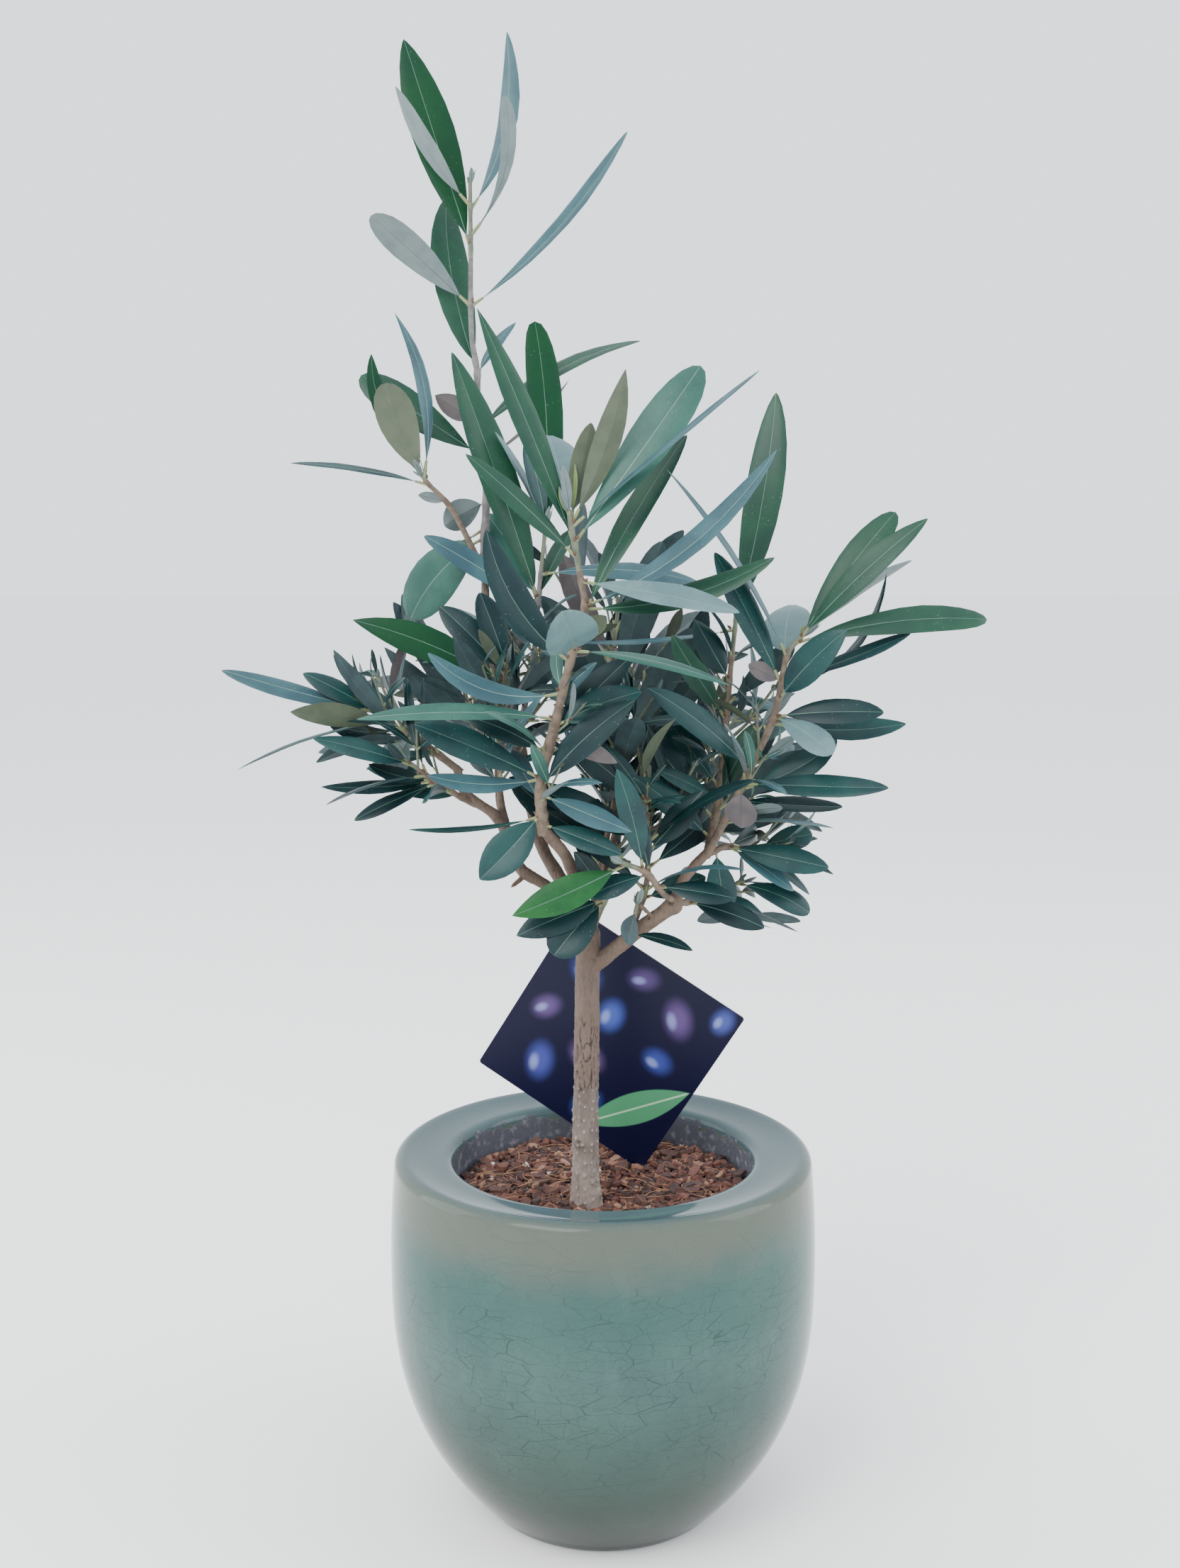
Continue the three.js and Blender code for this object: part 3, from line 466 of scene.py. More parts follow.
def leaf_place(leaf, share):
    """Place on the midrib, which arches towards the leaf's face and bows to its side."""
    face, aim = leaf["face"], leaf["aim"]
    bend = leaf["length"] * 4 * share * (1 - share)
    place = leaf["root"] + aim * (leaf["length"] * share)
    return place + face * (bend * leaf["arch"]) + face.cross(aim) * (bend * leaf["bow"])


# All forms that stand so far, each with the name of its owner
standing = []


def stand(owner, form):
    standing.append((owner, form))


def meets(form, wanted):
    """Whether a form touches one that stands already and whose owner is wanted."""
    low, high = form["low"], form["high"]
    for owner, other in standing:
        if not wanted(owner):
            continue
        if any(low[k] > other["high"][k] or other["low"][k] > high[k] for k in range(3)):
            continue
        if form["tree"].overlap(other["tree"]):
            return True
    return False


def leaf_is_free(owner, leaf):
    """Whether a leaf keeps a thin gap to its own shoot's leaves and a full one to all else."""
    if meets(leaf_form(leaf, LEAF["own_gap"], LEAF["own_start"]), lambda o: o == owner):
        return False
    return not meets(leaf_form(leaf, GAP, 0), lambda o: o != owner)


# The growing rule, as for the solids
def stated_leaf(shoot, row, lean_more):
    """Leaf by its row: share of the stem, clock angle, lean to the viewer, length, width, turn of its
    face, and where they are special its arch and bow."""
    share, clock, lean, length, width, turn = row[:6]
    arch = row[6] if len(row) > 6 else PLAIN_ARCH
    bow = row[7] if len(row) > 7 else 0
    aim = heading(clock, lean + lean_more)
    to_viewer = across(TO_VIEWER, aim)
    away = aim.cross(to_viewer)
    lift = -away if across(UP, aim).dot(away) < 0 else away
    face = to_viewer * math.cos(math.radians(turn)) + lift * math.sin(math.radians(turn))
    return dict(
        root=curve_point(shoot["path"], share), aim=aim, face=face.normalized(),
        length=length, width=width, arch=arch, bow=bow, blade=LONG_BLADE,
    )


def pair_wishes(stem, random):
    wishes = []
    pairs = stem["pairs"]
    for k in range(pairs):
        share = mix(stem["start"], stem["end"], k / (pairs - 1)) if pairs > 1 else stem["end"]
        turn = stem["turn"] + 90 * k + (random() - 0.5) * RULE["jitter"]
        size = 1 - RULE["size_fall"] * (share - RULE["largest_at"]) ** 2
        size *= RULE["end_leaf"] if k == pairs - 1 else 1
        opening = stem["spread"] * (RULE["foot_spread"] - RULE["spread_fall"] * share)
        for half in (0, 180):
            spread = opening + (random() - 0.5) * RULE["spread_jitter"]
            length = stem["leaf"] * size * (1 + (random() - 0.5) * RULE["length_jitter"])
            width_share = RULE["width_share"] + random() * RULE["width_jitter"]
            roll = (random() - 0.5) * RULE["roll_jitter"]
            arch = RULE["arch"] + random() * RULE["arch_jitter"]
            wishes.append(dict(
                share=share, turn=turn + half, spread=spread, length=length,
                width=length * width_share, roll=roll, arch=arch,
            ))
    return wishes


def outward_aim(frame_here, turn, rise):
    _, tangent, side, up = frame_here
    angle = math.radians(turn)
    outward = side * math.cos(angle) + up * math.sin(angle)
    rise = math.radians(rise)
    return tangent * math.cos(rise) + outward * math.sin(rise)


def wished_leaf(stem, wish, turn_more):
    place = stem["frames"][nearest(wish["share"] * RULE_STEPS)]
    at, tangent = place[:2]
    aim = outward_aim(place, wish["turn"] + turn_more, wish["spread"])
    aim.z = max(aim.z - RULE["droop"], RULE["steepest"])
    aim.normalize()
    reach = at + aim * wish["length"]
    light = tangent + UP * RULE["to_sky"] + Vector((reach.x, reach.y, 0)).normalized() * RULE["to_open"]
    face = turned(across(light, aim), aim, wish["roll"])
    return dict(
        root=at, aim=aim, face=face, length=wish["length"], width=wish["width"],
        arch=wish["arch"], bow=0, blade=PLAIN_BLADE,
    )


def twig_wishes(shoot, random):
    wishes = []
    for k in range(shoot["twigs"]):
        share = mix(shoot["start"], shoot["end"], (k + 0.5) / shoot["twigs"]) * TWIG["reach"]
        turn = shoot["turn"] + TWIG["turn"] + 180 * k + (random() - 0.5) * TWIG["turn_jitter"]
        length = shoot["leaf"] * (TWIG["length"] + TWIG["length_jitter"] * random())
        bow = TWIG["bow"] + TWIG["bow_jitter"] * random()
        wishes.append(dict(share=share, turn=turn, length=length, bow=bow))
    return wishes


def side_stem(path, sizes, **growth):
    """Short stem that bears pairs of leaves of its own."""
    return dict(
        path=path, frames=frames_along(path, RULE_STEPS), sides=3, foot=sizes["radius"], tip=sizes["tip"],
        pairs=sizes["pairs"], start=sizes["start"], end=1, **growth,
    )


def twig_of(shoot, wish, turn_more):
    place = shoot["frames"][nearest(wish["share"] * RULE_STEPS)]
    aim = outward_aim(place, wish["turn"] + turn_more, TWIG["rise"]).normalized()
    at, length = place[0], wish["length"]
    path = [at, at + aim * (length / 2) - UP * (wish["bow"] * length / 2), at + aim * length]
    leaf = shoot["leaf"] * TWIG["leaf"]
    return side_stem(path, TWIG, turn=wish["turn"], spread=shoot["spread"], leaf=leaf)


def first_free(tries, make, is_free):
    for change in tries:
        made = make(change)
        if is_free(made):
            return made
    return None


def grow_stem(plant, kind, tries, make):
    """Lets a side stem grow where it stays clear of all that other nodes have."""
    owner = plant["shoot"]["name"]
    stem = first_free(tries, make, lambda made: not meets(limb_form(made, GAP), lambda o: o != owner))
    if stem:
        stand(owner, limb_form(stem, 0))
        plant[kind].append(stem)
    return stem


def grow_leaf(plant, tries, make, allowed=lambda made: True):
    owner = plant["shoot"]["name"]
    leaf = first_free(tries, make, lambda made: allowed(made) and leaf_is_free(owner, made))
    if leaf:
        stand(owner, leaf_form(leaf, 0, 0))
        plant["leaves"].append(leaf)
    return leaf


def grow_shoots():
    plants = []
    for limb in LIMBS:
        stand(limb["name"], limb_form(limb, 0))
    for shoot in SHOOTS:
        shoot["frames"] = frames_along(shoot["path"], RULE_STEPS)
        stand(shoot["name"], limb_form({**shoot, "sides": 4}, 0))
        random = seeded_random(shoot["seed"])
        plants.append(dict(shoot=shoot, random=random, twigs=[], sprigs=[], leaves=[]))
    for plant in plants:
        for wish in twig_wishes(plant["shoot"], plant["random"]):
            grow_stem(plant, "twigs", TURN_TRIES, lambda more: twig_of(plant["shoot"], wish, more))
    for plant in plants:
        for number, row in enumerate(plant["shoot"]["leaves"]):
            leaf = grow_leaf(plant, LEAN_TRIES, lambda more: stated_leaf(plant["shoot"], row, more))
            if leaf:
                leaf["number"] = number
    for plant in plants:
        for stem in [plant["shoot"], *plant["twigs"]]:
            for wish in pair_wishes(stem, plant["random"]):
                grow_leaf(plant, TURN_TRIES, lambda more: wished_leaf(stem, wish, more))
    return plants


# Finer growth: short sprigs of small leaves beside the rule's leaves, and young leaves at each tip
def tip_is_inside(leaf, node):
    """Whether a leaf's tip keeps to the box of its node, give or take a small margin."""
    low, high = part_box(node)
    margin = SPRIG["margin"] * MM
    tip = leaf_place(leaf, 1)
    return all(low[k] - margin <= tip[k] * MM <= high[k] + margin for k in range(3))


def sprig_of(shoot, share, turn, length):
    place = shoot["frames"][nearest(share * RULE_STEPS)]
    at = place[0]
    aim = outward_aim(place, turn, SPRIG["rise"])
    aim.z += SPRIG["lift"]
    aim.normalize()
    path = [at, at + aim * (length / 2), at + aim * length + UP * (SPRIG["curl"] * length)]
    leaf = shoot["leaf"] * SPRIG["leaf"]
    return side_stem(path, SPRIG, turn=turn + SPRIG["pair_turn"], spread=SPRIG["spread"], leaf=leaf)


def grow_sprigs(plants):
    for plant in plants:
        shoot = plant["shoot"]
        random = seeded_random(shoot["seed"] + SPRIG["seed"])
        places = shoot["pairs"] * 2
        for k in range(places):
            share = mix(shoot["start"], shoot["end"], (k + 0.5) / places) - SPRIG["before"]
            turn = shoot["turn"] + 90 * k + SPRIG["turn"] + (random() - 0.5) * SPRIG["turn_jitter"]
            length = SPRIG["length"] * (SPRIG["shortest"] + SPRIG["length_jitter"] * random())
            if random() > SPRIG["per_pair"]:
                continue
            sprig = grow_stem(plant, "sprigs", (0,), lambda more: sprig_of(shoot, share, turn, length))
            if not sprig:
                continue
            for wish in pair_wishes(sprig, random):
                grow_leaf(
                    plant, TURN_TRIES, lambda more: wished_leaf(sprig, wish, more),
                    lambda made: tip_is_inside(made, shoot["name"]),
                )


def tip_leaves(stem, random, scale):
    at, tangent = stem["frames"][-1][:2]
    made = []
    for k in range(TIP_LEAVES["count"]):
        wide = TIP_LEAVES["least_spread"] + TIP_LEAVES["spread_jitter"] * random()
        turn = 90 * k + TIP_LEAVES["turn_jitter"] * random()
        aim = outward_aim(stem["frames"][-1], turn, TIP_LEAVES["spread"] * wide).normalized()
        size = scale * (1 if k < 2 else TIP_LEAVES["inner"])
        made.append(dict(
            root=at - tangent * TIP_LEAVES["sunk"], aim=aim, face=across(tangent, aim),
            length=TIP_LEAVES["length"] * size, width=TIP_LEAVES["width"] * (0.5 + 0.5 * size),
            arch=TIP_LEAVES["arch"], bow=0, young=True,
        ))
    return made


# Many small forms are gathered into one mesh
class Batch:
    def __init__(self):
        self.corners = []
        self.faces = []
        self.paints = []

    def add(self, corners, faces, paints):
        start = len(self.corners)
        self.corners += corners
        self.faces += [tuple(start + c for c in face) for face in faces]
        self.paints += paints if isinstance(paints, list) else [paints] * len(faces)

    def build(self, name, materials, smooth_angle=40):
        mesh = bpy.data.meshes.new(name)
        mesh.from_pydata([tuple(c * MM) for c in self.corners], [], self.faces)
        for material in materials:
            mesh.materials.append(material)
        mesh.polygons.foreach_set("material_index", self.paints)
        piece = bpy.data.objects.new(name, mesh)
        bpy.context.collection.objects.link(piece)
        smooth(piece, smooth_angle)
        return piece


def only(piece):
    bpy.ops.object.select_all(action="DESELECT")
    piece.select_set(True)
    bpy.context.view_layer.objects.active = piece


def smooth(piece, degrees):
    only(piece)
    bpy.ops.object.shade_smooth_by_angle(angle=math.radians(degrees))


# Drawn leaf: least and most of what differs from leaf to leaf, then its own sizes
BLADE = dict(
    fold=(-0.12, 0.26), opening=(0.72, 0.94), closing=(0.64, 0.88), wave=(0.02, 0.22), full_wave=5,
    sway=0.06, bowed_sway=0.03, twist=30, stated_twist=16, still_at=0.35,
    rings=12, edge=0.56, rib=0.3, rib_taper=0.6, widest_rib=0.3, thick=0.34, keel=0.3, least_half=0.3,
    cup=0.099, ripples=13, shift=1.3, folded=0.8,
)
# Corners round a blade in order, and the paint of the face that follows each
BLADE_ORDER = (0, 1, 2, 3, 4, 5, 9, 8, 7, 6)
BLADE_BAND = (
    "upper", "upper", "rib", "upper", "upper", "under", "under", "under_rib", "under", "under",
)
OUTLINES = {
    "blunt": (0.85, 0.5), "pointed": (0.95, 0.98), "round": (0.6, 0.5), "straight": (0.55, 0.4),
    "paddle": (1.3, 0.45),
}
PETIOLE = dict(length=5.5, most=0.12, foot=0.75, tip=0.5, sides=6, full_leaf=30)


def outline_share(s, opening, closing):
    """Half-width of a blade as a share of its widest: opening shapes its base, closing its tip."""
    widest = opening / (opening + closing)
    return (s / widest) ** opening * ((1 - s) / (1 - widest)) ** closing


def draw_leaf(blades, stems, leaf, paints, random):
    """Blade with a sunk midrib, a slight fold, sway and twist; its short stalk goes to the stems."""
    length = leaf["length"]
    half = leaf["width"] / 2
    side = leaf["face"].cross(leaf["aim"])
    start = min(PETIOLE["length"] / length, PETIOLE["most"])
    sway = (random() - 0.5) * BLADE["bowed_sway" if leaf["bow"] else "sway"]
    twist = (random() - 0.5) * BLADE["stated_twist" if "number" in leaf else "twist"]
    fold = mix(*BLADE["fold"], random())
    plain_outline = mix(*BLADE["opening"], random()), mix(*BLADE["closing"], random())
    opening, closing = OUTLINES.get(leaf.get("outline"), plain_outline)
    wave = mix(*BLADE["wave"], random()) * min(1, half / BLADE["full_wave"])
    phase = random() * math.tau

    def middle(share):
        return leaf_place(leaf, share) + side * (length * sway * 4 * share * (1 - share))

    def ring(s):
        """Corners round the blade at one station, the upper ones first."""
        share = mix(start, 1, s)
        aim = (middle(min(share + 0.01, 1)) - middle(share - 0.01)).normalized()
        face = across(turned(leaf["face"], leaf["aim"], twist * (share - BLADE["still_at"])), aim)
        right = face.cross(aim)
        width = max(half * outline_share(s, opening, closing), BLADE["least_half"])
        rib = min(BLADE["rib"] * (1 - BLADE["rib_taper"] * s) / 2 / width, BLADE["widest_rib"])
        thick = BLADE["thick"] * min(1, width / 2)
        edge = BLADE["edge"]
        top = []
        under = []
        for u in (-1, -edge, -rib, rib, edge, 1):
            cup = BLADE["cup"] * (1 - (2 * abs(u) - 1) ** 2)
            swing = math.sin(phase + BLADE["ripples"] * s + (BLADE["shift"] if u > 0 else 0))
            lift = (cup + (fold * BLADE["folded"] + wave * swing / half) * abs(u)) * width
            place = middle(share) + right * (u * width)
            top.append(place + face * (lift + (0 if abs(u) == 1 else thick / 2)))
            if abs(u) != 1:
                keel = BLADE["keel"] if abs(u) == rib else 0
                under.append(place + face * (lift - (0.5 + keel) * thick))
        return top + under

    rings = BLADE["rings"]
    corners = []
    for i in range(rings):
        corners += ring(0.5 - 0.5 * math.cos(math.pi * (i + 0.25) / (rings + 0.25)))
    corners.append(middle(1))
    count = len(BLADE_ORDER)
    faces = [BLADE_ORDER]
    colours = [paints["under"]]
    for i in range(rings):
        for k in range(count):
            a = BLADE_ORDER[k] + i * count
            b = BLADE_ORDER[(k + 1) % count] + i * count
            ahead = (len(corners) - 1,) if i == rings - 1 else (a + count, b + count)
            faces.append((b, a, *ahead))
            colours.append(paints[BLADE_BAND[k]])
    blades.add(corners, faces, colours)
    thin = min(1, length / PETIOLE["full_leaf"])
    draw_tube(
        stems, [middle(start * k / 3) for k in range(4)],
        [mix(PETIOLE["foot"], PETIOLE["tip"], k / 3) * thin for k in range(4)],
        PETIOLE["sides"], paints["stalk"],
    )


def draw_tube(batch, centres, radii, sides, paint, pointed=False):
    corners = []
    side = None
    for i, at in enumerate(centres):
        ahead = centres[min(i + 1, len(centres) - 1)]
        tangent = (ahead - centres[max(i - 1, 0)]).normalized()
        if side is None:
            side = Vector((1, 0, 0)) if abs(tangent.x) < 0.8 else TO_VIEWER
        side = across(side, tangent)
        up = tangent.cross(side)
        for s in range(sides):
            angle = math.tau * s / sides
            corners.append(at + side * (radii[i] * math.cos(angle)) + up * (radii[i] * math.sin(angle)))
    if pointed:
        corners.append(centres[-1] + tangent * radii[-1] * 2)
    batch.add(corners, loft_faces(sides, len(centres), pointed), paint)


NODE = dict(reach=1.3, swell=0.22, most=1.3)
STEM_FOOT = dict(sunk=2.2, share=0.95)
# How far beyond a stem's end its bud goes on, and how thick it is there
END_BUD = ((0.7, 1.15), (1.6, 0.9), (2.4, 0.5))
GREEN_FROM = 0.82
STEM_SIDES = 10
TWIG_SIDES = 7


def draw_stem(batch, stem, nodes, sides, woody):
    """Stem that thickens a little where leaves leave it, turns green, and ends in a small bud."""
    path = stem["path"]
    length = path_length(path)
    steps = max(6, int(length / NODE["reach"]))
    shares = [i / steps for i in range(steps + 1)]
    centres = [curve_point(path, share) for share in shares]
    radii = []
    for share in shares:
        node = sum(math.exp(-(((share - n) * length / NODE["reach"]) ** 2)) for n in nodes)
        radii.append(mix(stem["foot"], stem["tip"], share) * (1 + NODE["swell"] * min(node, NODE["most"])))
    centres.insert(0, centres[0] - curve_tangent(path, 0) * STEM_FOOT["sunk"])
    radii.insert(0, radii[0] * STEM_FOOT["share"])
    end, tangent = centres[-1], curve_tangent(path, 1)
    centres += [end + tangent * reach for reach, _ in END_BUD]
    radii += [stem["tip"] * share for _, share in END_BUD]
    paints = [STEM_NAMES.index(woody)] * (sides - 2)
    for i in range(len(centres) - 1):
        paints += [STEM_NAMES.index("stem_green" if i / steps > GREEN_FROM else woody)] * (sides * 2)
    paints += [paints[-1]] * sides
    draw_tube(batch, centres, radii, sides, paints, pointed=True)


BUD_FORM = ((0, 0.55), (0.25, 0.95), (0.5, 1), (0.75, 0.66))


def draw_bud(batch, at, aim, length, radius):
    draw_tube(
        batch, [at + aim * (length * share) for share, _ in BUD_FORM],
        [radius * wide for _, wide in BUD_FORM], 6, STEM_NAMES.index("bud_brown"), pointed=True,
    )


# Materials
def srgb(red, green, blue):
    values = [v / 255 for v in (red, green, blue)]
    return tuple(v / 12.92 if v <= 0.04045 else ((v + 0.055) / 1.055) ** 2.4 for v in values) + (1,)


class Finish:
    """One material and its layers of colour and relief."""

    def __init__(self, name, colour, roughness, gloss=0.5):
        self.material = bpy.data.materials.new(name)
        self.material.use_nodes = True
        self.tree = self.material.node_tree
        self.inputs = self.tree.nodes["Principled BSDF"].inputs
        self.colour = srgb(*colour)
        self.inputs["Base Color"].default_value = self.colour
        self.inputs["Roughness"].default_value = roughness
        self.inputs["Specular IOR Level"].default_value = gloss
        self.coordinates = self.tree.nodes.new("ShaderNodeTexCoord").outputs
        self.normal = None

    def node(self, kind, links=None, **settings):
        made = self.tree.nodes.new(kind)
        for key, value in settings.items():
            setattr(made, key, value)
        for socket, value in (links or {}).items():
            self.put(made.inputs[socket], value)
        return made

    def put(self, socket, value):
        if isinstance(value, bpy.types.NodeSocket):
            self.tree.links.new(value, socket)
        else:
            socket.default_value = value

    def place(self, stretch=(1, 1, 1)):
        links = {"Vector": self.coordinates["Object"], "Scale": stretch}
        return self.node("ShaderNodeMapping", links).outputs["Vector"]

    def noise(self, size, detail, stretch=(1, 1, 1)):
        """Soft noise whose patches are about size millimetres across."""
        links = {"Vector": self.place(stretch), "Scale": 1 / (size * MM), "Detail": detail}
        return self.node("ShaderNodeTexNoise", links).outputs["Fac"]

    def cells(self, size, feature, vector=None):
        links = {"Vector": vector or self.place(), "Scale": 1 / (size * MM)}
        return self.node("ShaderNodeTexVoronoi", links, feature=feature).outputs["Distance"]

    def parts(self, vector):
        """X, Y and Z of a vector."""
        return self.node("ShaderNodeSeparateXYZ", {"Vector": vector}).outputs

    def length(self, vector):
        return self.node("ShaderNodeVectorMath", {0: vector}, operation="LENGTH").outputs["Value"]

    def between(self, value, low, high, to_low=0, to_high=1):
        links = {"Value": value, "From Min": low, "From Max": high, "To Min": to_low, "To Max": to_high}
        return self.node("ShaderNodeMapRange", links, interpolation_type="SMOOTHSTEP").outputs["Result"]

    def zone(self, level, low, high, to_low=0, to_high=1):
        """Like between, with its two levels in millimetres."""
        return self.between(level, low * MM, high * MM, to_low, to_high)

    def ragged(self, level, size, detail, spread, reach):
        """Level that wanders up and down by at most reach millimetres."""
        wander = self.between(self.noise(size, detail), spread, 1 - spread, -reach * MM, reach * MM)
        return self.maths("ADD", level, wander)

    def maths(self, operation, a, b):
        return self.node("ShaderNodeMath", {0: a, 1: b}, operation=operation).outputs["Value"]

    def both(self, share, *others):
        """Where all of some shares hold together."""
        for other in others:
            share = self.maths("MULTIPLY", share, other)
        return share

    def paint(self, share, colour):
        """Lays another colour over what is there, as far as share says."""
        links = {0: share, 6: self.colour, 7: srgb(*colour)}
        self.colour = self.node("ShaderNodeMix", links, data_type="RGBA").outputs[2]
        self.put(self.inputs["Base Color"], self.colour)

    def patches(self, colour, size, detail, low, high, most=1, stretch=(1, 1, 1)):
        """Lays another colour over what is there in soft patches."""
        self.paint(self.between(self.noise(size, detail, stretch), low, high, 0, most), colour)

    def relief(self, height, strength, depth):
        links = {"Height": height, "Strength": strength, "Distance": depth * MM}
        if self.normal:
            links["Normal"] = self.normal
        self.normal = self.node("ShaderNodeBump", links).outputs["Normal"]
        self.put(self.inputs["Normal"], self.normal)


def dealt(shares, value):
    """Name whose share of the whole holds the value."""
    return next(name for name, limit in shares if value <= limit)


def leaf_finish(name, colour, deep, roughness, gloss):
    """Mottled and flecked green, with clusters of pale specks."""
    finish = Finish(name, colour, roughness, gloss)
    finish.patches(deep, 14, 4, 0.35, 0.68)
    finish.patches([c * 0.8 for c in colour], 2.2, 2, 0.5, 0.75, 0.3)
    specks = finish.between(finish.cells(1.7, "F1"), 0.1, 0.16, 0.1, 0)
    clusters = finish.between(finish.noise(9, 2), 0.45, 0.62)
    finish.paint(finish.both(specks, clusters), (196, 206, 200))
    finish.relief(finish.noise(1.1, 2), 0.12, 0.3)
    return finish.material


def plain_finish(name, colour, other, roughness, size, relief):
    """Two near colours in soft patches, with a fine grain."""
    finish = Finish(name, colour, roughness)
    finish.patches(other, size, 3, 0.38, 0.66)
    finish.relief(finish.noise(size * 0.25, 3), relief, 0.3)
    return finish.material


def plain_finishes(table, prefix=""):
    return [plain_finish(prefix + name, *looks) for name, looks in table.items()]


# Pot, drawn up ring by ring from its foot and turned in at the lip
SHOULDER = POT["height"] - POT["rounding"]
# Edges as steps outward and up from the foot, and outward and down from the mouth
FOOT_EDGE = ((-2.2, 0), (-0.9, 0.3))
MOUTH_EDGE = ((1.5, 0.3), (0.4, 1.3))
WALL_LEVELS = dict(first=2.4, rings=44, lip_rings=9, lip_start=0.12, lip_sag=0.5, throat_start=2.6)
INNER_LEVELS = (104, 98, 80, 62, 40, 23, POT["floor"])


def pot_radius(z):
    if z >= POT["belly_height"]:
        rise = (z - POT["belly_height"]) / (SHOULDER - POT["belly_height"])
        return mix(POT["belly"], POT["shoulder"], rise * rise)
    return mix(POT["foot"], POT["belly"], 1 - (1 - z / POT["belly_height"]) ** POT["swell"])


def pot_rings():
    """Radius and level of each ring: up the outside, over the lip, and down the inside."""
    ridge, mouth, mouth_height = POT["ridge"], POT["mouth"], POT["mouth_height"]
    first, lip_rings = WALL_LEVELS["first"], WALL_LEVELS["lip_rings"]
    rings = [(POT["foot"] + out, level) for out, level in FOOT_EDGE]
    rings.append((pot_radius(1.6) - 0.2, 1.2))
    rings += [(pot_radius(z), z) for z in np.linspace(first, SHOULDER, WALL_LEVELS["rings"])]
    for step in range(1, lip_rings + 1):
        angle = math.pi / 2 * step / lip_rings
        reach = ridge + (POT["shoulder"] - ridge) * math.cos(angle)
        rings.append((reach, SHOULDER + POT["rounding"] * math.sin(angle)))
    for share in np.linspace(WALL_LEVELS["lip_start"], 1, lip_rings + 1):
        sag = WALL_LEVELS["lip_sag"] * math.sin(math.pi * share)
        level = mix(POT["height"], mouth_height + 0.2, share) - sag
        rings.append((mix(ridge, mouth + 3, share), level))
    rings += [(mouth + out, mouth_height - down) for out, down in MOUTH_EDGE]
    throat_levels = np.linspace(mouth_height - WALL_LEVELS["throat_start"], POT["throat"], 8)
    rings += [(mouth, z) for z in throat_levels]
    rings += [(pot_radius(z) - POT["wall"], z) for z in INNER_LEVELS]
    return rings


def ring_up(name, rings, sides):
    bpy.ops.object.select_all(action="DESELECT")
    radius, level = rings[0]
    bpy.ops.mesh.primitive_circle_add(vertices=sides, radius=radius * MM, location=(0, 0, level * MM))
    piece = bpy.context.object
    piece.name = name
    piece.data.name = name
    bpy.ops.object.transform_apply(location=True, rotation=True, scale=True)
    bpy.ops.object.mode_set(mode="EDIT")
    bpy.ops.mesh.select_all(action="SELECT")
    bpy.ops.mesh.edge_face_add()
    for next_radius, next_level in rings[1:]:
        rise = (0, 0, (next_level - level) * MM)
        bpy.ops.mesh.extrude_region_move(TRANSFORM_OT_translate={"value": rise})
        grow = next_radius / radius
        bpy.ops.transform.resize(value=(grow, grow, 1), center_override=(0, 0, next_level * MM))
        radius, level = next_radius, next_level
    bpy.ops.mesh.select_all(action="SELECT")
    bpy.ops.mesh.normals_make_consistent(inside=False)
    bpy.ops.object.mode_set(mode="OBJECT")
    return piece


# Crackle of the glaze: size of its cells, their stretch and how strong their lines are
CRACKLE = ((7, (0.4, 0.4, 1.5), 0.6), (5, (0.9, 0.9, 1.3), 0.5), (2.6, (1, 1, 1.2), 0.35))


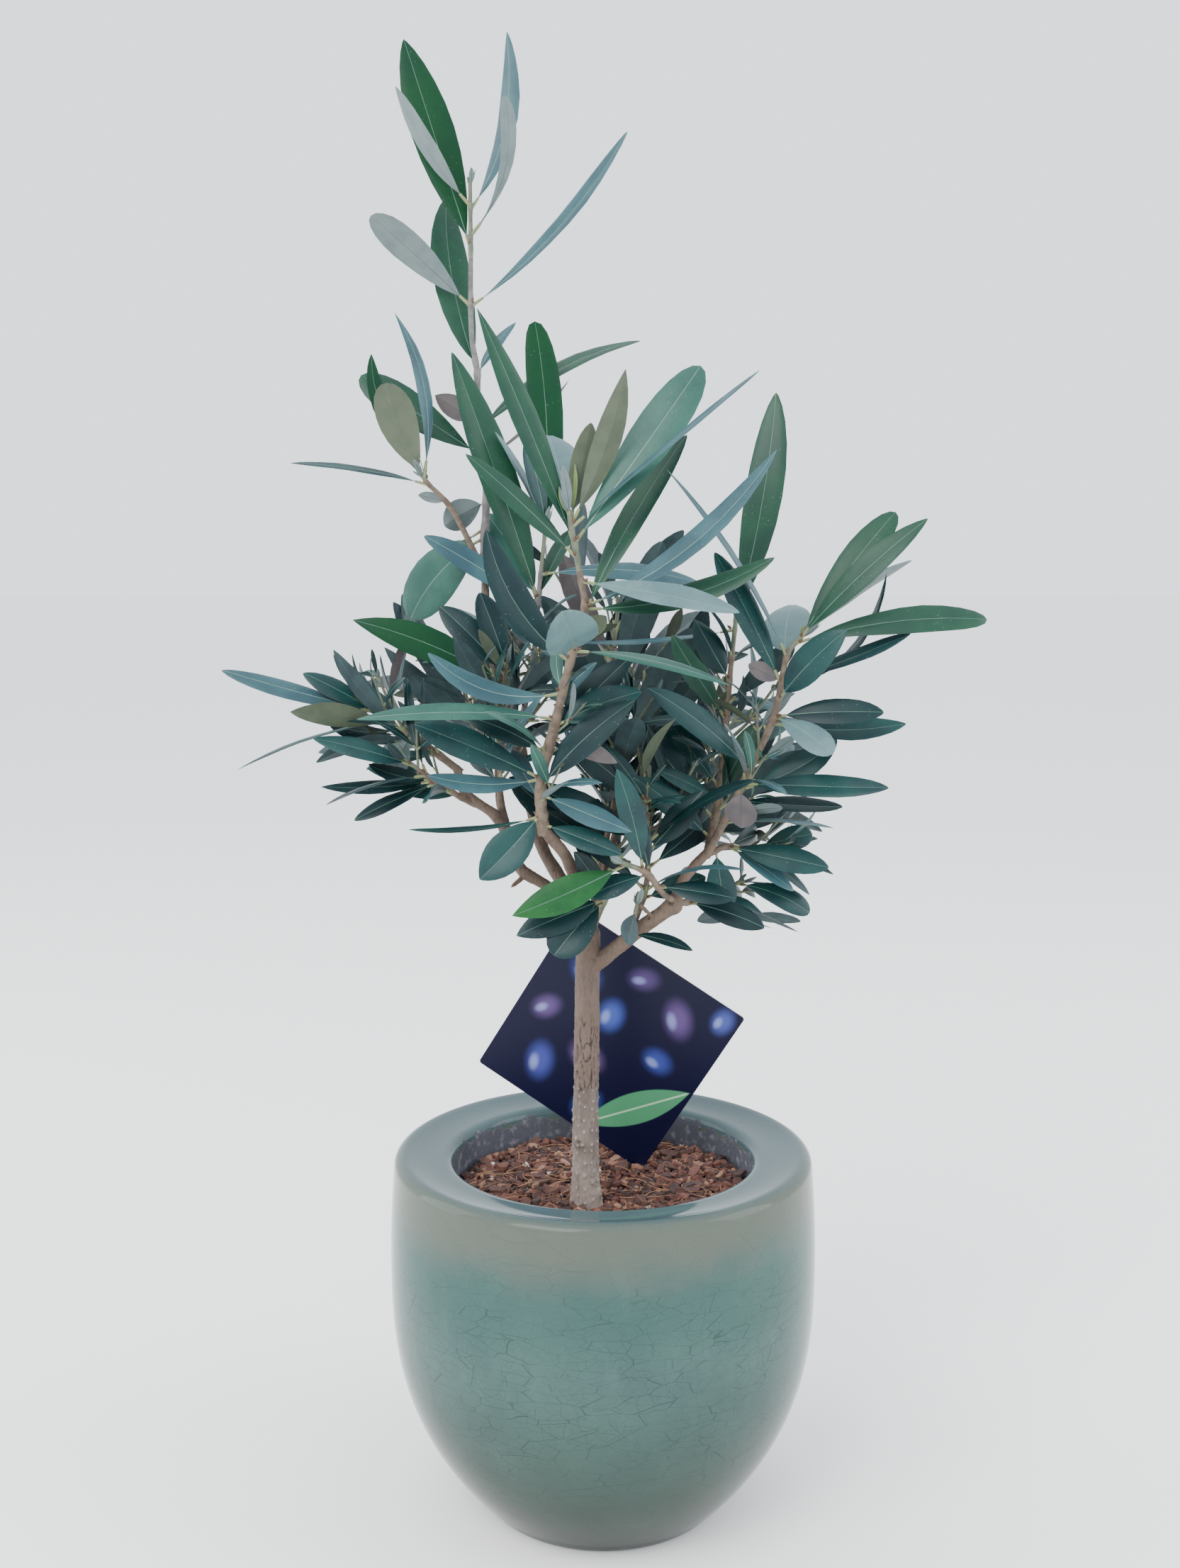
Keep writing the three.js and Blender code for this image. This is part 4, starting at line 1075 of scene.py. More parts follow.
def glaze_finish():
    """Green glaze, dark at the foot, brown at the shoulder and crackled; bare clay in the mouth."""
    finish = Finish("celadon_glaze", (67, 91, 87), 0.1, 0.15)
    spot = finish.parts(finish.coordinates["Object"])
    height = spot["Z"]
    flat = finish.node("ShaderNodeCombineXYZ", {"X": spot["X"], "Y": spot["Y"]})
    reach = finish.length(flat.outputs["Vector"])
    wavy = finish.ragged(height, 22, 3, 0.2, 4)
    finish.patches((58, 80, 79), 30, 4, 0.35, 0.7, 0.7)
    finish.patches((72, 100, 94), 7, 3, 0.5, 0.75, 0.35, (1, 1, 0.4))
    finish.paint(finish.zone(wavy, 30, 90, 0.75, 0), (52, 65, 57))
    finish.paint(finish.zone(wavy, 0, 50, 0.85, 0), (18, 27, 21))
    belly = finish.both(finish.zone(wavy, 80, 100, 0, 0.45), finish.zone(wavy, 108, 124, 1, 0))
    finish.paint(belly, (48, 81, 75))
    finish.paint(finish.zone(wavy, 108, 127, 0, 0.85), (85, 89, 80))
    # Painted sky reflection: the upward-facing top of the rim and its rounded outer edge are tinted bluish
    lip = finish.zone(reach, POT["ridge"] - 1, POT["ridge"] + 4, 0.8, 0)
    finish.paint(finish.both(lip, finish.zone(height, 128, 131)), (64, 84, 89))
    wander = finish.node("ShaderNodeTexNoise", {"Vector": finish.place(), "Scale": 90, "Detail": 2})
    sway = finish.node("ShaderNodeVectorMath", {0: wander.outputs["Color"], 3: 0.0016}, operation="SCALE")
    lines = 0
    for size, stretch, strength in CRACKLE:
        bent = finish.node("ShaderNodeVectorMath", {0: finish.place(stretch), 1: sway.outputs["Vector"]})
        edge = finish.cells(size, "DISTANCE_TO_EDGE", bent.outputs["Vector"])
        lines = finish.maths("MAXIMUM", lines, finish.between(edge, 0.004, 0.02, strength, 0))
    patchy = finish.between(finish.noise(18, 2), 0.38, 0.6, 0.5, 1)
    finish.paint(finish.both(lines, finish.zone(wavy, 90, 130, 1, 0.2), patchy), (30, 46, 42))
    bare = finish.both(
        finish.zone(reach, POT["mouth"] + 0.4, POT["mouth"] + 0.8, 1, 0), finish.zone(height, 100, 105),
        finish.zone(finish.ragged(height, 5, 4, 0.25, 3), 129.5, 130.3, 1, 0),
    )
    finish.paint(bare, (78, 78, 86))
    finish.paint(finish.both(bare, finish.between(finish.noise(3, 4), 0.5, 0.72)), (112, 110, 116))
    finish.put(finish.inputs["Roughness"], finish.between(bare, 0, 1, 0.1, 0.85))
    finish.relief(finish.noise(26, 2), 0.1, 1.2)
    finish.relief(finish.both(finish.noise(1.6, 4), bare), 0.6, 0.5)
    return finish.material


def make_pot():
    pot = ring_up("glazed_pot", pot_rings(), POT_SIDES)
    pot.data.materials.append(glaze_finish())
    smooth(pot, 50)
    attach(pot, "root")
    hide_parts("pot")


# Soil, with loose bark chips and fibres on it
SOIL_BED = dict(sides=96, depth=12, sunk=1, rings=26, ring=2)
# Waves of the soil: height in millimetres, and waves in a metre
SOIL_WAVES = ((0.9, 160), (0.6, 420))


def make_soil():
    bpy.ops.object.select_all(action="DESELECT")
    middle = SOIL_TOP - SOIL_BED["sunk"] - SOIL_BED["depth"] / 2
    bpy.ops.mesh.primitive_cylinder_add(
        vertices=SOIL_BED["sides"], radius=SOIL_RADIUS * MM, depth=SOIL_BED["depth"] * MM,
        location=(0, 0, middle * MM),
    )
    soil = bpy.context.object
    soil.name = "soil_bed"
    bpy.ops.object.transform_apply(location=True, rotation=True, scale=True)
    bpy.ops.object.mode_set(mode="EDIT")
    bpy.ops.mesh.select_all(action="DESELECT")
    bpy.ops.object.mode_set(mode="OBJECT")
    for face in soil.data.polygons:
        face.select = face.normal.z > 0.9
    bpy.ops.object.mode_set(mode="EDIT")
    for _ in range(SOIL_BED["rings"]):
        bpy.ops.mesh.inset(thickness=SOIL_BED["ring"] * MM)
    bpy.ops.object.mode_set(mode="OBJECT")
    for corner in soil.data.vertices:
        if corner.co.z > (SOIL_TOP - 2) * MM:
            corner.co.z += sum(high * noise.noise(corner.co * pitch) for high, pitch in SOIL_WAVES) * MM
    soil.data.materials.append(plain_finish("soil_crumb", (66, 47, 40), (40, 30, 26), 0.95, 2.5, 0.9))
    smooth(soil, 60)
    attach(soil, "root")
    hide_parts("soil")


CHIPS = dict(
    count=1500, shortest=1.9, longest=7.5, long_few=2.2, narrow=0.35, width_jitter=0.35, thin=0.7,
    thicker=0.14, piled=2.1, low_most=1.6, tilt=0.9, lean=0.8, inset=2.2,
    above=0.1,
)
CRUMBS = dict(count=3200, least=0.8, more=1.4, wide=0.8, thick=0.7, piled=0.9, tilt=2.6)
CHIP_OUTLINE = ((-0.5, -0.36), (-0.2, -0.5), (0.4, -0.44), (0.5, 0.1), (0.25, 0.5), (-0.42, 0.42))
CHIP_TONES = ((0, 0.28), (1, 0.58), (2, 0.84), (3, 0.985), (4, 1))
CHIP_LOOKS = {
    "bark_chip_red": ((104, 62, 50), (80, 50, 43), 0.85, 2, 0.6),
    "bark_chip_brown": ((86, 56, 48), (66, 44, 39), 0.9, 2, 0.6),
    "bark_chip_dark": ((64, 44, 41), (48, 34, 33), 0.9, 2, 0.6),
    "bark_chip_tan": ((142, 104, 84), (116, 84, 68), 0.8, 2, 0.5),
    "grit_pale": ((190, 184, 174), (160, 152, 142), 0.8, 2, 0.4),
}
FIBRES = dict(
    count=110, shortest=4, more=9, bow=0.8, arch=1.2, radius=0.16, points=6, inset=6, above=1.6, piled=1.4,
)


def chip_form(at, size, yaw, tilt, lean, random):
    turn = Matrix.Rotation(yaw, 3, "Z") @ Matrix.Rotation(tilt, 3, "X") @ Matrix.Rotation(lean, 3, "Y")
    corners = []
    for z in (-0.5, 0.5):
        for x, y in CHIP_OUTLINE:
            jitter = [0.75 + 0.45 * random() for _ in range(3)]
            local = Vector((x * size[0] * jitter[0], y * size[1] * jitter[1], z * size[2] * jitter[2]))
            corners.append(at + turn @ local)
    faces = [(5, 4, 3, 2, 1, 0), (6, 7, 8, 9, 10, 11)]
    faces += [(k, (k + 1) % 6, (k + 1) % 6 + 6, k + 6) for k in range(6)]
    return corners, faces


def place_on_soil(random, inset):
    reach = (SOIL_RADIUS - inset) * math.sqrt(random())
    angle = random() * math.tau
    return reach * math.cos(angle), reach * math.sin(angle)


def make_chips():
    random = seeded_random(41)
    chips = Batch()
    for k in range(CHIPS["count"] + CRUMBS["count"]):
        crumb = k >= CHIPS["count"]
        x, y = place_on_soil(random, CHIPS["inset"])
        long = mix(CHIPS["shortest"], CHIPS["longest"], random() ** CHIPS["long_few"])
        wide = long * (CHIPS["narrow"] + CHIPS["width_jitter"] * random())
        size = (long, wide, CHIPS["thin"] + CHIPS["thicker"] * long)
        if crumb:
            grain = CRUMBS["least"] + CRUMBS["more"] * random()
            size = (grain, grain * CRUMBS["wide"], grain * CRUMBS["thick"])
        pile = CRUMBS["piled"] * random() if crumb else CHIPS["piled"] * random() ** CHIPS["low_most"]
        tilt = (random() - 0.5) * (CRUMBS["tilt"] if crumb else CHIPS["tilt"])
        lean = (random() - 0.5) * (CRUMBS["tilt"] if crumb else CHIPS["lean"])
        at = Vector((x, y, SOIL_TOP + CHIPS["above"] + pile))
        corners, faces = chip_form(at, size, random() * math.tau, tilt, lean, random)
        chips.add(corners, faces, dealt(CHIP_TONES, random()))
    pieces = chips.build("soil_chips", plain_finishes(CHIP_LOOKS), 25)
    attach(pieces, "root")
    strands = make_fibres(random)
    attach(strands, "root")


def make_fibres(random):
    """Thin curved fibres that lie on the soil and keep clear of the pot's wall."""
    fibres = Batch()
    points = FIBRES["points"]
    for _ in range(FIBRES["count"]):
        x, y = place_on_soil(random, FIBRES["inset"])
        at = Vector((x, y, SOIL_TOP + FIBRES["above"] + FIBRES["piled"] * random()))
        yaw = random() * math.tau
        length = FIBRES["shortest"] + FIBRES["more"] * random()
        bow = (random() - 0.5) * FIBRES["bow"]
        centres = []
        for i in range(points):
            s = i / (points - 1) - 0.5
            turn = yaw + bow * s * 2
            lift = FIBRES["arch"] * (0.25 - s * s)
            place = at + Vector((math.cos(turn) * s * length, math.sin(turn) * s * length, lift))
            far = max(1, math.hypot(place.x, place.y) / (SOIL_RADIUS - 1))
            centres.append(Vector((place.x / far, place.y / far, place.z)))
        draw_tube(fibres, centres, [FIBRES["radius"]] * points, 4, 0)
    coir = plain_finish("coir_fibre", (150, 112, 80), (110, 78, 56), 0.8, 4, 0.2)
    return fibres.build("soil_fibres", [coir])


# Plant card: a square of printed card that stands on one corner
# Ovals of the print: place and half-widths as shares of the card, turn and colour
OVALS = (
    (0.20, 0.74, 0.13, 0.09, 20, (66, 74, 150)), (0.47, 0.86, 0.10, 0.075, -35, (92, 70, 120)),
    (0.74, 0.78, 0.12, 0.085, 65, (48, 66, 140)), (0.36, 0.55, 0.12, 0.09, 80, (104, 76, 128)),
    (0.62, 0.56, 0.11, 0.085, 10, (70, 88, 168)), (0.88, 0.52, 0.10, 0.075, -60, (82, 62, 112)),
    (0.14, 0.42, 0.11, 0.08, -20, (54, 78, 152)), (0.80, 0.27, 0.13, 0.09, 40, (96, 72, 124)),
    (0.55, 0.24, 0.10, 0.08, 85, (58, 70, 146)), (0.92, 0.08, 0.09, 0.07, 0, (74, 84, 158)),
)
CARD_LEAF = (0.27, 0.20, 0.30, 0.085, -38)


def card_finish():
    finish = Finish("printed_card", (11, 12, 42), 0.4, 0.2)

    def spot(u, v, wide, high, turn):
        """The print as seen from an oval, whose edge is then 1 away."""
        links = {
            "Vector": finish.coordinates["UV"], "Location": (u, v, 0), "Scale": (wide, high, 1),
            "Rotation": (0, 0, math.radians(turn)),
        }
        return finish.node("ShaderNodeMapping", links, vector_type="TEXTURE").outputs["Vector"]

    for u, v, wide, high, turn, colour in OVALS:
        oval = finish.length(spot(u, v, wide, high, turn))
        finish.paint(finish.between(oval, 0.2, 1.1, 0.9, 0), colour)
        shine = finish.length(spot(u - 0.2 * wide, v + 0.25 * high, wide * 0.5, high * 0.4, turn))
        finish.paint(finish.between(shine, 0.2, 1, 0.55, 0), (150, 160, 214))
    along, sideways, _ = finish.parts(spot(*CARD_LEAF))
    wide = finish.maths("ABSOLUTE", sideways, 0)
    blade = finish.maths("ADD", finish.both(along, along), wide)
    finish.paint(finish.between(blade, 0.92, 1.02, 1, 0), (74, 138, 98))
    rib = finish.both(finish.between(wide, 0.03, 0.08, 1, 0), finish.between(blade, 0.85, 1, 1, 0))
    finish.paint(rib, (158, 196, 160))
    return finish.material


def make_card():
    side = CARD["side"] * MM
    bpy.ops.object.select_all(action="DESELECT")
    bpy.ops.mesh.primitive_plane_add(size=side, location=(side / 2, side / 2, CARD["thick"] * MM))
    card = bpy.context.object
    card.name = "printed_card"
    bpy.ops.object.transform_apply(location=True, rotation=True, scale=True)
    bpy.ops.object.mode_set(mode="EDIT")
    bpy.ops.mesh.select_all(action="SELECT")
    bpy.ops.mesh.bevel(offset=CARD["corner"] * MM, segments=5, affect="VERTICES")
    bpy.ops.mesh.select_all(action="SELECT")
    bpy.ops.mesh.extrude_region_move(TRANSFORM_OT_translate={"value": (0, 0, -CARD["thick"] * MM)})
    bpy.ops.mesh.select_all(action="SELECT")
    bpy.ops.mesh.normals_make_consistent(inside=False)
    bpy.ops.object.mode_set(mode="OBJECT")
    layer = card.data.uv_layers.active.data
    for face in card.data.polygons:
        for corner in face.loop_indices:
            place = card.data.vertices[card.data.loops[corner].vertex_index].co
            layer[corner].uv = (place.x / side, place.y / side)
    card.data.materials.append(card_finish())
    card.data.materials.append(plain_finish("card_back", (206, 206, 198), (190, 190, 184), 0.6, 9, 0.05))
    for face in card.data.polygons:
        face.material_index = 0 if face.normal.z > 0.5 else 1
    turn = Matrix.Rotation(math.radians(CARD["yaw"]), 4, "Z")
    turn = turn @ Matrix.Rotation(math.radians(90 + CARD["forward"]), 4, "X")
    turn = turn @ Matrix.Rotation(math.radians(45 + CARD["spin"]), 4, "Z")
    card.data.transform(turn)
    lowest = min(v.co.z for v in card.data.vertices) / MM
    place = Vector((CARD["x"], CARD["y"], SOIL_TOP + GAP - lowest))
    card.data.transform(Matrix.Translation(place * MM))
    card.data.calc_loop_triangles()
    triangles = [tuple(triangle.vertices) for triangle in card.data.loop_triangles]
    stand("plant_card", plain_form([corner.co / MM for corner in card.data.vertices], triangles))
    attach(card, "root")
    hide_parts("plant_card")


# Trunk and boughs: drawn as tubes, fused into one skin, and given their bark in relief
# Knots: place, radius and height; pits: place and radius; stubs: foot, tip and radii
KNOTS = (
    (-8.3, -26, 146.5, 2.2, 1.3), (-9.4, -24.6, 192, 1.6, 0.9), (-2.4, -25.6, 131, 1.6, 0.9),
    (-1.0, -25, 127, 1.8, 1.1), (-3.6, -25.8, 134.5, 1.2, 0.7), (-9.2, -24.4, 172, 1.5, 0.7),
    (24, -29.5, 234.5, 2.6, 1.3), (27, -27, 231.5, 2.2, 1.0), (-12, -19, 231, 1.6, 0.7),
    (-33, 9, 296, 1.4, 0.6), (-42.5, 10.5, 327, 1.5, 0.7), (-14, -39.5, 254.5, 1.5, 0.7),
    (-38, -21.5, 263.5, 1.5, 0.7), (3, 16, 247, 1.5, 0.6), (13, -25.8, 224, 1.4, 0.6),
)
PITS = (
    (0.6, -23.6, 216.5, 1.0), (-7.9, -26.4, 153.5, 0.7), (-1.4, -25, 167, 0.8),
    (-3.2, -23.6, 213, 0.9), (16, -28, 229, 0.7), (-5, -14, 226, 1.4),
)
STUBS = (
    ((-17, -20, 233.5), (-23.5, -21.5, 231), 1.0, 0.8), ((-27, -20, 243.5), (-31, -23, 240.5), 0.9, 0.7),
    ((17.5, -27.5, 229.5), (12.2, -31, 235), 0.8, 0.7), ((-30, 5, 284), (-36, 1, 289), 0.9, 0.7),
)
PORES = dict(rows=11, low=121, high=166, pitch=3.6, rise=0.34, tall=0.55, wide=0.42, start=4, sway=0.25)
PORE_REACH = 5
# The dark of the fissures, upper bark, knots and pits is painted shade in these hollows
FISSURES = dict(low=164, high=191, depth=0.6, width=0.14, dark=0.85)
UPPER_BARK = dict(low=188, high=200, depth=0.16, dark=0.45)
BARK_WAVES = dict(fine=0.1, fissured=0.25, lump=0.42)
KNOT = dict(eye=0.35, eye_depth=0.5, eye_shade=0.45, dark=0.8)
PIT_DEPTH = 0.8
BARK_GRAIN = 0.42
# Ends of the tubes: how far the trunk's foot is sunk, how far the tops go on, and their share of the radius
TUBE_ENDS = dict(sunk=3, foot=1.12, trunk_top=2, top=1.2, share=0.8)
BARK_SIDES = 24
TRUNK = LIMBS[0]


def bark_tubes():
    batch = Batch()
    for limb in LIMBS:
        path = limb["path"]
        steps = max(6, int(path_length(path) / 2))
        centres = [curve_point(path, i / steps) for i in range(steps + 1)]
        radii = [limb_radius(limb, i / steps) for i in range(steps + 1)]
        if limb is TRUNK:
            centres.insert(0, centres[0] - UP * TUBE_ENDS["sunk"])
            radii.insert(0, radii[0] * TUBE_ENDS["foot"])
        top = TUBE_ENDS["trunk_top" if limb is TRUNK else "top"]
        centres.append(centres[-1] + curve_tangent(path, 1) * top)
        radii.append(radii[-1] * TUBE_ENDS["share"])
        draw_tube(batch, centres, radii, BARK_SIDES, 0)
    for foot, tip, thick, thin in STUBS:
        foot, tip = Vector(foot), Vector(tip)
        draw_tube(batch, [foot, foot.lerp(tip, 0.5), tip], [thick, (thick + thin) / 2, thin * 1.1], 12, 0)
    return batch.build("bark", [])


def trunk_place(corners):
    """How far round the trunk each corner lies, in radians, and how far from its middle line, in mm."""
    path = [curve_point(TRUNK["path"], k / 30) for k in range(31)]
    levels = [p.z for p in path]
    x = corners[:, 0] - np.interp(corners[:, 2], levels, [p.x for p in path])
    y = corners[:, 1] - np.interp(corners[:, 2], levels, [p.y for p in path])
    return np.arctan2(y, x), np.hypot(x, y)


def smooth_step(low, high, values):
    share = np.clip((values - low) / (high - low), 0, 1)
    return share * share * (3 - 2 * share)


def bark_noise(corners, across, along, shift=0):
    """Noise of the bark at each corner, drawn out along the stem."""
    return np.array([
        noise.noise(Vector((x * across, y * across, z * along + shift))) for x, y, z in corners
    ])


def bell(corners, place, radius):
    """Smooth bump round a place: 1 there, and soon nothing beyond the radius."""
    far = np.linalg.norm(corners - place, axis=1) / radius
    return np.exp(-far * far)


def pores(angle, level, on_trunk):
    """How much each corner rises in one of the small pores, and how pale it is there."""
    rise = np.zeros(len(level))
    pale = np.zeros(len(level))
    random = seeded_random(77)
    for row in range(PORES["rows"]):
        around = math.tau * (row + 0.5 * random()) / PORES["rows"]
        z = PORES["low"] + PORES["start"] * random()
        while z < PORES["high"]:
            turn = np.angle(np.exp(1j * (angle - around - PORES["sway"] * (random() - 0.5))))
            size = 0.7 + 0.6 * random()
            spot = ((level - z) / (PORES["tall"] * size)) ** 2
            spot += (turn * PORE_REACH / (PORES["wide"] * size)) ** 2
            bump = np.exp(-spot) * on_trunk
            rise += PORES["rise"] * size * bump
            pale = np.maximum(pale, bump)
            z += PORES["pitch"] * (0.5 + random())
    return rise, pale


def carve_bark(bark):
    """Moves the skin in and out, and keeps where it is pale, dark and warm as its marks; the dark is
    painted shade in the fissures, pits and knot eyes.
    """
    mesh = bark.data
    count = len(mesh.vertices)
    corners = np.empty(count * 3)
    mesh.vertices.foreach_get("co", corners)
    corners = corners.reshape(-1, 3) / MM
    normals = np.empty(count * 3)
    mesh.vertices.foreach_get("normal", normals)
    angle, reach = trunk_place(corners)
    level = corners[:, 2]
    on_trunk = (reach < 9) & (level < 215)
    rise, pale = pores(angle, level, on_trunk)
    fine = bark_noise(corners, 1.3, 0.6, 40)
    lump = bark_noise(corners, 0.16, 0.1, 9)
    crack = 1 - smooth_step(0, FISSURES["width"], np.abs(bark_noise(corners, 0.62, 0.13)))
    zone = smooth_step(FISSURES["low"] - 3, FISSURES["low"] + 2, level)
    zone *= (1 - smooth_step(FISSURES["high"] - 3, FISSURES["high"] + 4, level)) * on_trunk
    above = smooth_step(UPPER_BARK["low"], UPPER_BARK["high"], level)
    rise += (BARK_WAVES["fissured"] * fine - FISSURES["depth"] * crack) * zone
    rise -= UPPER_BARK["depth"] * crack * (above * 0.8 + 0.1)
    rise += BARK_WAVES["fine"] * fine + BARK_WAVES["lump"] * lump * np.clip(reach / 5, 0, 1)
    dark = np.maximum(FISSURES["dark"] * crack * zone, UPPER_BARK["dark"] * crack * above)
    for x, y, z, radius, height in KNOTS:
        rise += height * bell(corners, (x, y, z), radius)
        rise -= KNOT["eye_depth"] * height * bell(corners, (x, y, z), KNOT["eye"] * radius)
        # Painted shade in the sunk eye of the knot
        eye_shade = KNOT["dark"] * bell(corners, (x, y, z), KNOT["eye_shade"] * radius)
        dark = np.maximum(dark, eye_shade)
    # Painted shade in the pit
    for x, y, z, radius in PITS:
        pit = bell(corners, (x, y, z), radius)
        rise -= PIT_DEPTH * pit
        dark = np.maximum(dark, pit)
    moved = (corners + normals.reshape(-1, 3) * rise[:, None]) * MM
    mesh.vertices.foreach_set("co", moved.ravel())
    marks = mesh.color_attributes.new("bark_marks", "FLOAT_COLOR", "POINT")
    warm = smooth_step(-0.2, 0.5, lump)
    marks.data.foreach_set("color", np.stack([pale, dark, warm, np.ones(count)], axis=1).ravel())
    mesh.update()


def bark_finish():
    """Grey-brown bark, paler at the foot, brown at the fork and grey again in the crown."""
    finish = Finish("bark", (104, 92, 84), 0.85)
    marks = finish.node("ShaderNodeVertexColor", layer_name="bark_marks")
    marks = finish.node("ShaderNodeSeparateColor", {"Color": marks.outputs["Color"]}).outputs
    spot = finish.parts(finish.coordinates["Object"])
    height = spot["Z"]
    finish.patches((82, 72, 69), 3, 4, 0.35, 0.7, 0.7, (1, 1, 0.35))
    finish.paint(finish.zone(height, 125, 160, 0.6, 0), (146, 132, 122))
    finish.paint(finish.zone(height, 162, 172, 0, 0.7), (92, 74, 63))
    finish.paint(finish.zone(height, 200, 220, 0, 0.75), (94, 78, 66))
    rightward = finish.both(finish.zone(spot["X"], -4, 6, 0, 0.6), finish.zone(height, 200, 215))
    finish.paint(rightward, (108, 90, 76))
    finish.paint(finish.zone(height, 270, 300, 0, 0.7), (107, 98, 90))
    finish.paint(finish.between(marks["Blue"], 0, 1, 0, 0.25), (89, 69, 60))
    finish.patches((65, 57, 52), 1.2, 3, 0.45, 0.75, 0.5, (1, 1, 0.4))
    finish.paint(finish.between(marks["Red"], 0.2, 0.8, 0, 0.65), (156, 147, 137))
    # Painted shade in the fissures, pits and knot eyes, from the green of the marks
    finish.paint(finish.between(marks["Green"], 0.2, 0.9, 0, 0.85), (40, 34, 31))
    finish.relief(finish.noise(0.8, 4, (1, 1, 0.4)), 0.5, 0.35)
    return finish.material


def make_bark():
    bark = bark_tubes()
    only(bark)
    fuse = bark.modifiers.new("Fuse", "REMESH")
    fuse.mode = "VOXEL"
    fuse.voxel_size = BARK_GRAIN * MM
    bpy.ops.object.modifier_apply(modifier="Fuse")
    soften = bark.modifiers.new("Soften", "SMOOTH")
    soften.factor = 0.5
    soften.iterations = 4
    bpy.ops.object.modifier_apply(modifier="Soften")
    carve_bark(bark)
    bpy.ops.object.shade_smooth()
    bark.data.materials.append(bark_finish())
    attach(bark, "root")
    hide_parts(*[limb["name"] for limb in LIMBS])


# Crown: stems, stalks, buds and leaves, with their colours dealt out leaf by leaf
# Upper leaf tones, each with the darker tone of its patches. The blue and teal casts of teal, blue_grey and
# pale are partly painted sky reflection over the leaves' own grey-green, and deep is partly painted shade
# of the lower leaves
UPPER_TONES = {
    "deep": ((9, 41, 42), (6, 31, 35)), "teal": ((22, 60, 58), (16, 46, 49)),
    "blue_grey": ((53, 86, 92), (42, 70, 78)), "grey_green": ((47, 88, 76), (37, 75, 67)),
    "sea_green": ((25, 65, 46), (20, 55, 43)), "vivid": ((13, 58, 32), (14, 52, 35)),
    "bright": ((34, 84, 43), (26, 72, 40)), "pale": ((92, 119, 120), (78, 104, 107)),
    "young": ((124, 138, 84), (100, 118, 72)),
}
UNDER_TONES = {
    "silver": ((98, 112, 112), (88, 103, 104)), "olive": ((76, 86, 66), (68, 79, 61)),
    "rose": ((98, 90, 90), (84, 78, 80)), "shade": ((40, 63, 65), (31, 52, 56)),
}
RIB_LOOKS = {
    "rib": ((114, 138, 124), (98, 124, 112), 0.5, 6, 0.05),
    "dark_rib": ((76, 108, 92), (60, 90, 80), 0.5, 6, 0.05),
    "under_rib": ((70, 77, 73), (60, 68, 66), 0.55, 6, 0.05),
}
STEM_LOOKS = {
    "stem_tan": ((108, 93, 78), (84, 71, 60), 0.75, 3, 0.4),
    "stem_grey": ((112, 108, 108), (90, 86, 86), 0.75, 3, 0.4),
    "stem_green": ((98, 104, 84), (80, 86, 70), 0.65, 4, 0.2),
    "stalk_yellow": ((128, 134, 94), (108, 116, 82), 0.55, 4, 0.1),
    "bud_brown": ((98, 74, 56), (78, 58, 46), 0.7, 1.5, 0.3),
}
LEAF_NAMES = [*UPPER_TONES, *UNDER_TONES, *RIB_LOOKS]
STEM_NAMES = list(STEM_LOOKS)
DARK_RIBBED = ("deep", "teal", "vivid", "bright", "sea_green")
MATT = ("vivid", "bright")
MATT_GLOSS = 0.12
LEAF_GLOSS = 0.26

# Colour of each stated leaf in its order, by the side that is seen, and its outline where it is special
LEADING_LEAVES = {
    "leader_shoot": (
        "silver blue_grey vivid silver/paddle silver/blunt blue_grey sea_green blue_grey rose "
        "sea_green rose sea_green/blunt grey_green/round silver deep"
    ),
    "left_upper_shoot": "olive/blunt blue_grey/pointed teal vivid silver",
    "front_shoot": (
        "olive/pointed olive grey_green/blunt blue_grey pale/round sea_green sea_green/pointed "
        "pale/round pale sea_green sea_green blue_grey grey_green deep blue_grey olive deep teal rose "
        "blue_grey teal teal teal blue_grey grey_green deep teal deep"
    ),
    "upright_shoot": "sea_green grey_green sea_green vivid/straight pale teal blue_grey teal blue_grey",
    "middle_right_shoot": "sea_green blue_grey sea_green deep blue_grey deep teal teal teal sea_green",
    "upper_right_shoot": (
        "sea_green sea_green/blunt sea_green/blunt silver blue_grey teal teal teal teal rose deep teal "
        "pale/blunt pale/round teal teal teal deep rose"
    ),
    "right_side_shoot": "teal teal/blunt blue_grey teal teal/blunt teal",
    "right_low_shoot": "deep teal teal/blunt",
    "knob_shoot": "bright/pointed teal teal deep deep",
    "left_shoot": "blue_grey teal teal teal deep silver",
    "left_low_shoot": "teal deep deep deep teal",
    "left_inner_shoot": "vivid/pointed deep deep teal",
    "inner_low_shoot": "deep deep teal",
    "fork_shoot": "deep deep/blunt deep",
    "bough_sprig": "deep shade",
}
# Tones dealt to the rule's leaves: the low leaves get the darker tones and the shade under tone as painted
# shade, the high ones the paler tones as painted light
HIGH_TONES = (("blue_grey", 0.4), ("grey_green", 0.65), ("teal", 0.85), ("sea_green", 1))
LOW_TONES = (("deep", 0.6), ("teal", 0.94), ("blue_grey", 1))
HIGH_UNDER = (("silver", 0.6), ("olive", 0.85), ("rose", 1))
LOW_UNDER = (("shade", 0.8), ("olive", 0.94), ("rose", 1))
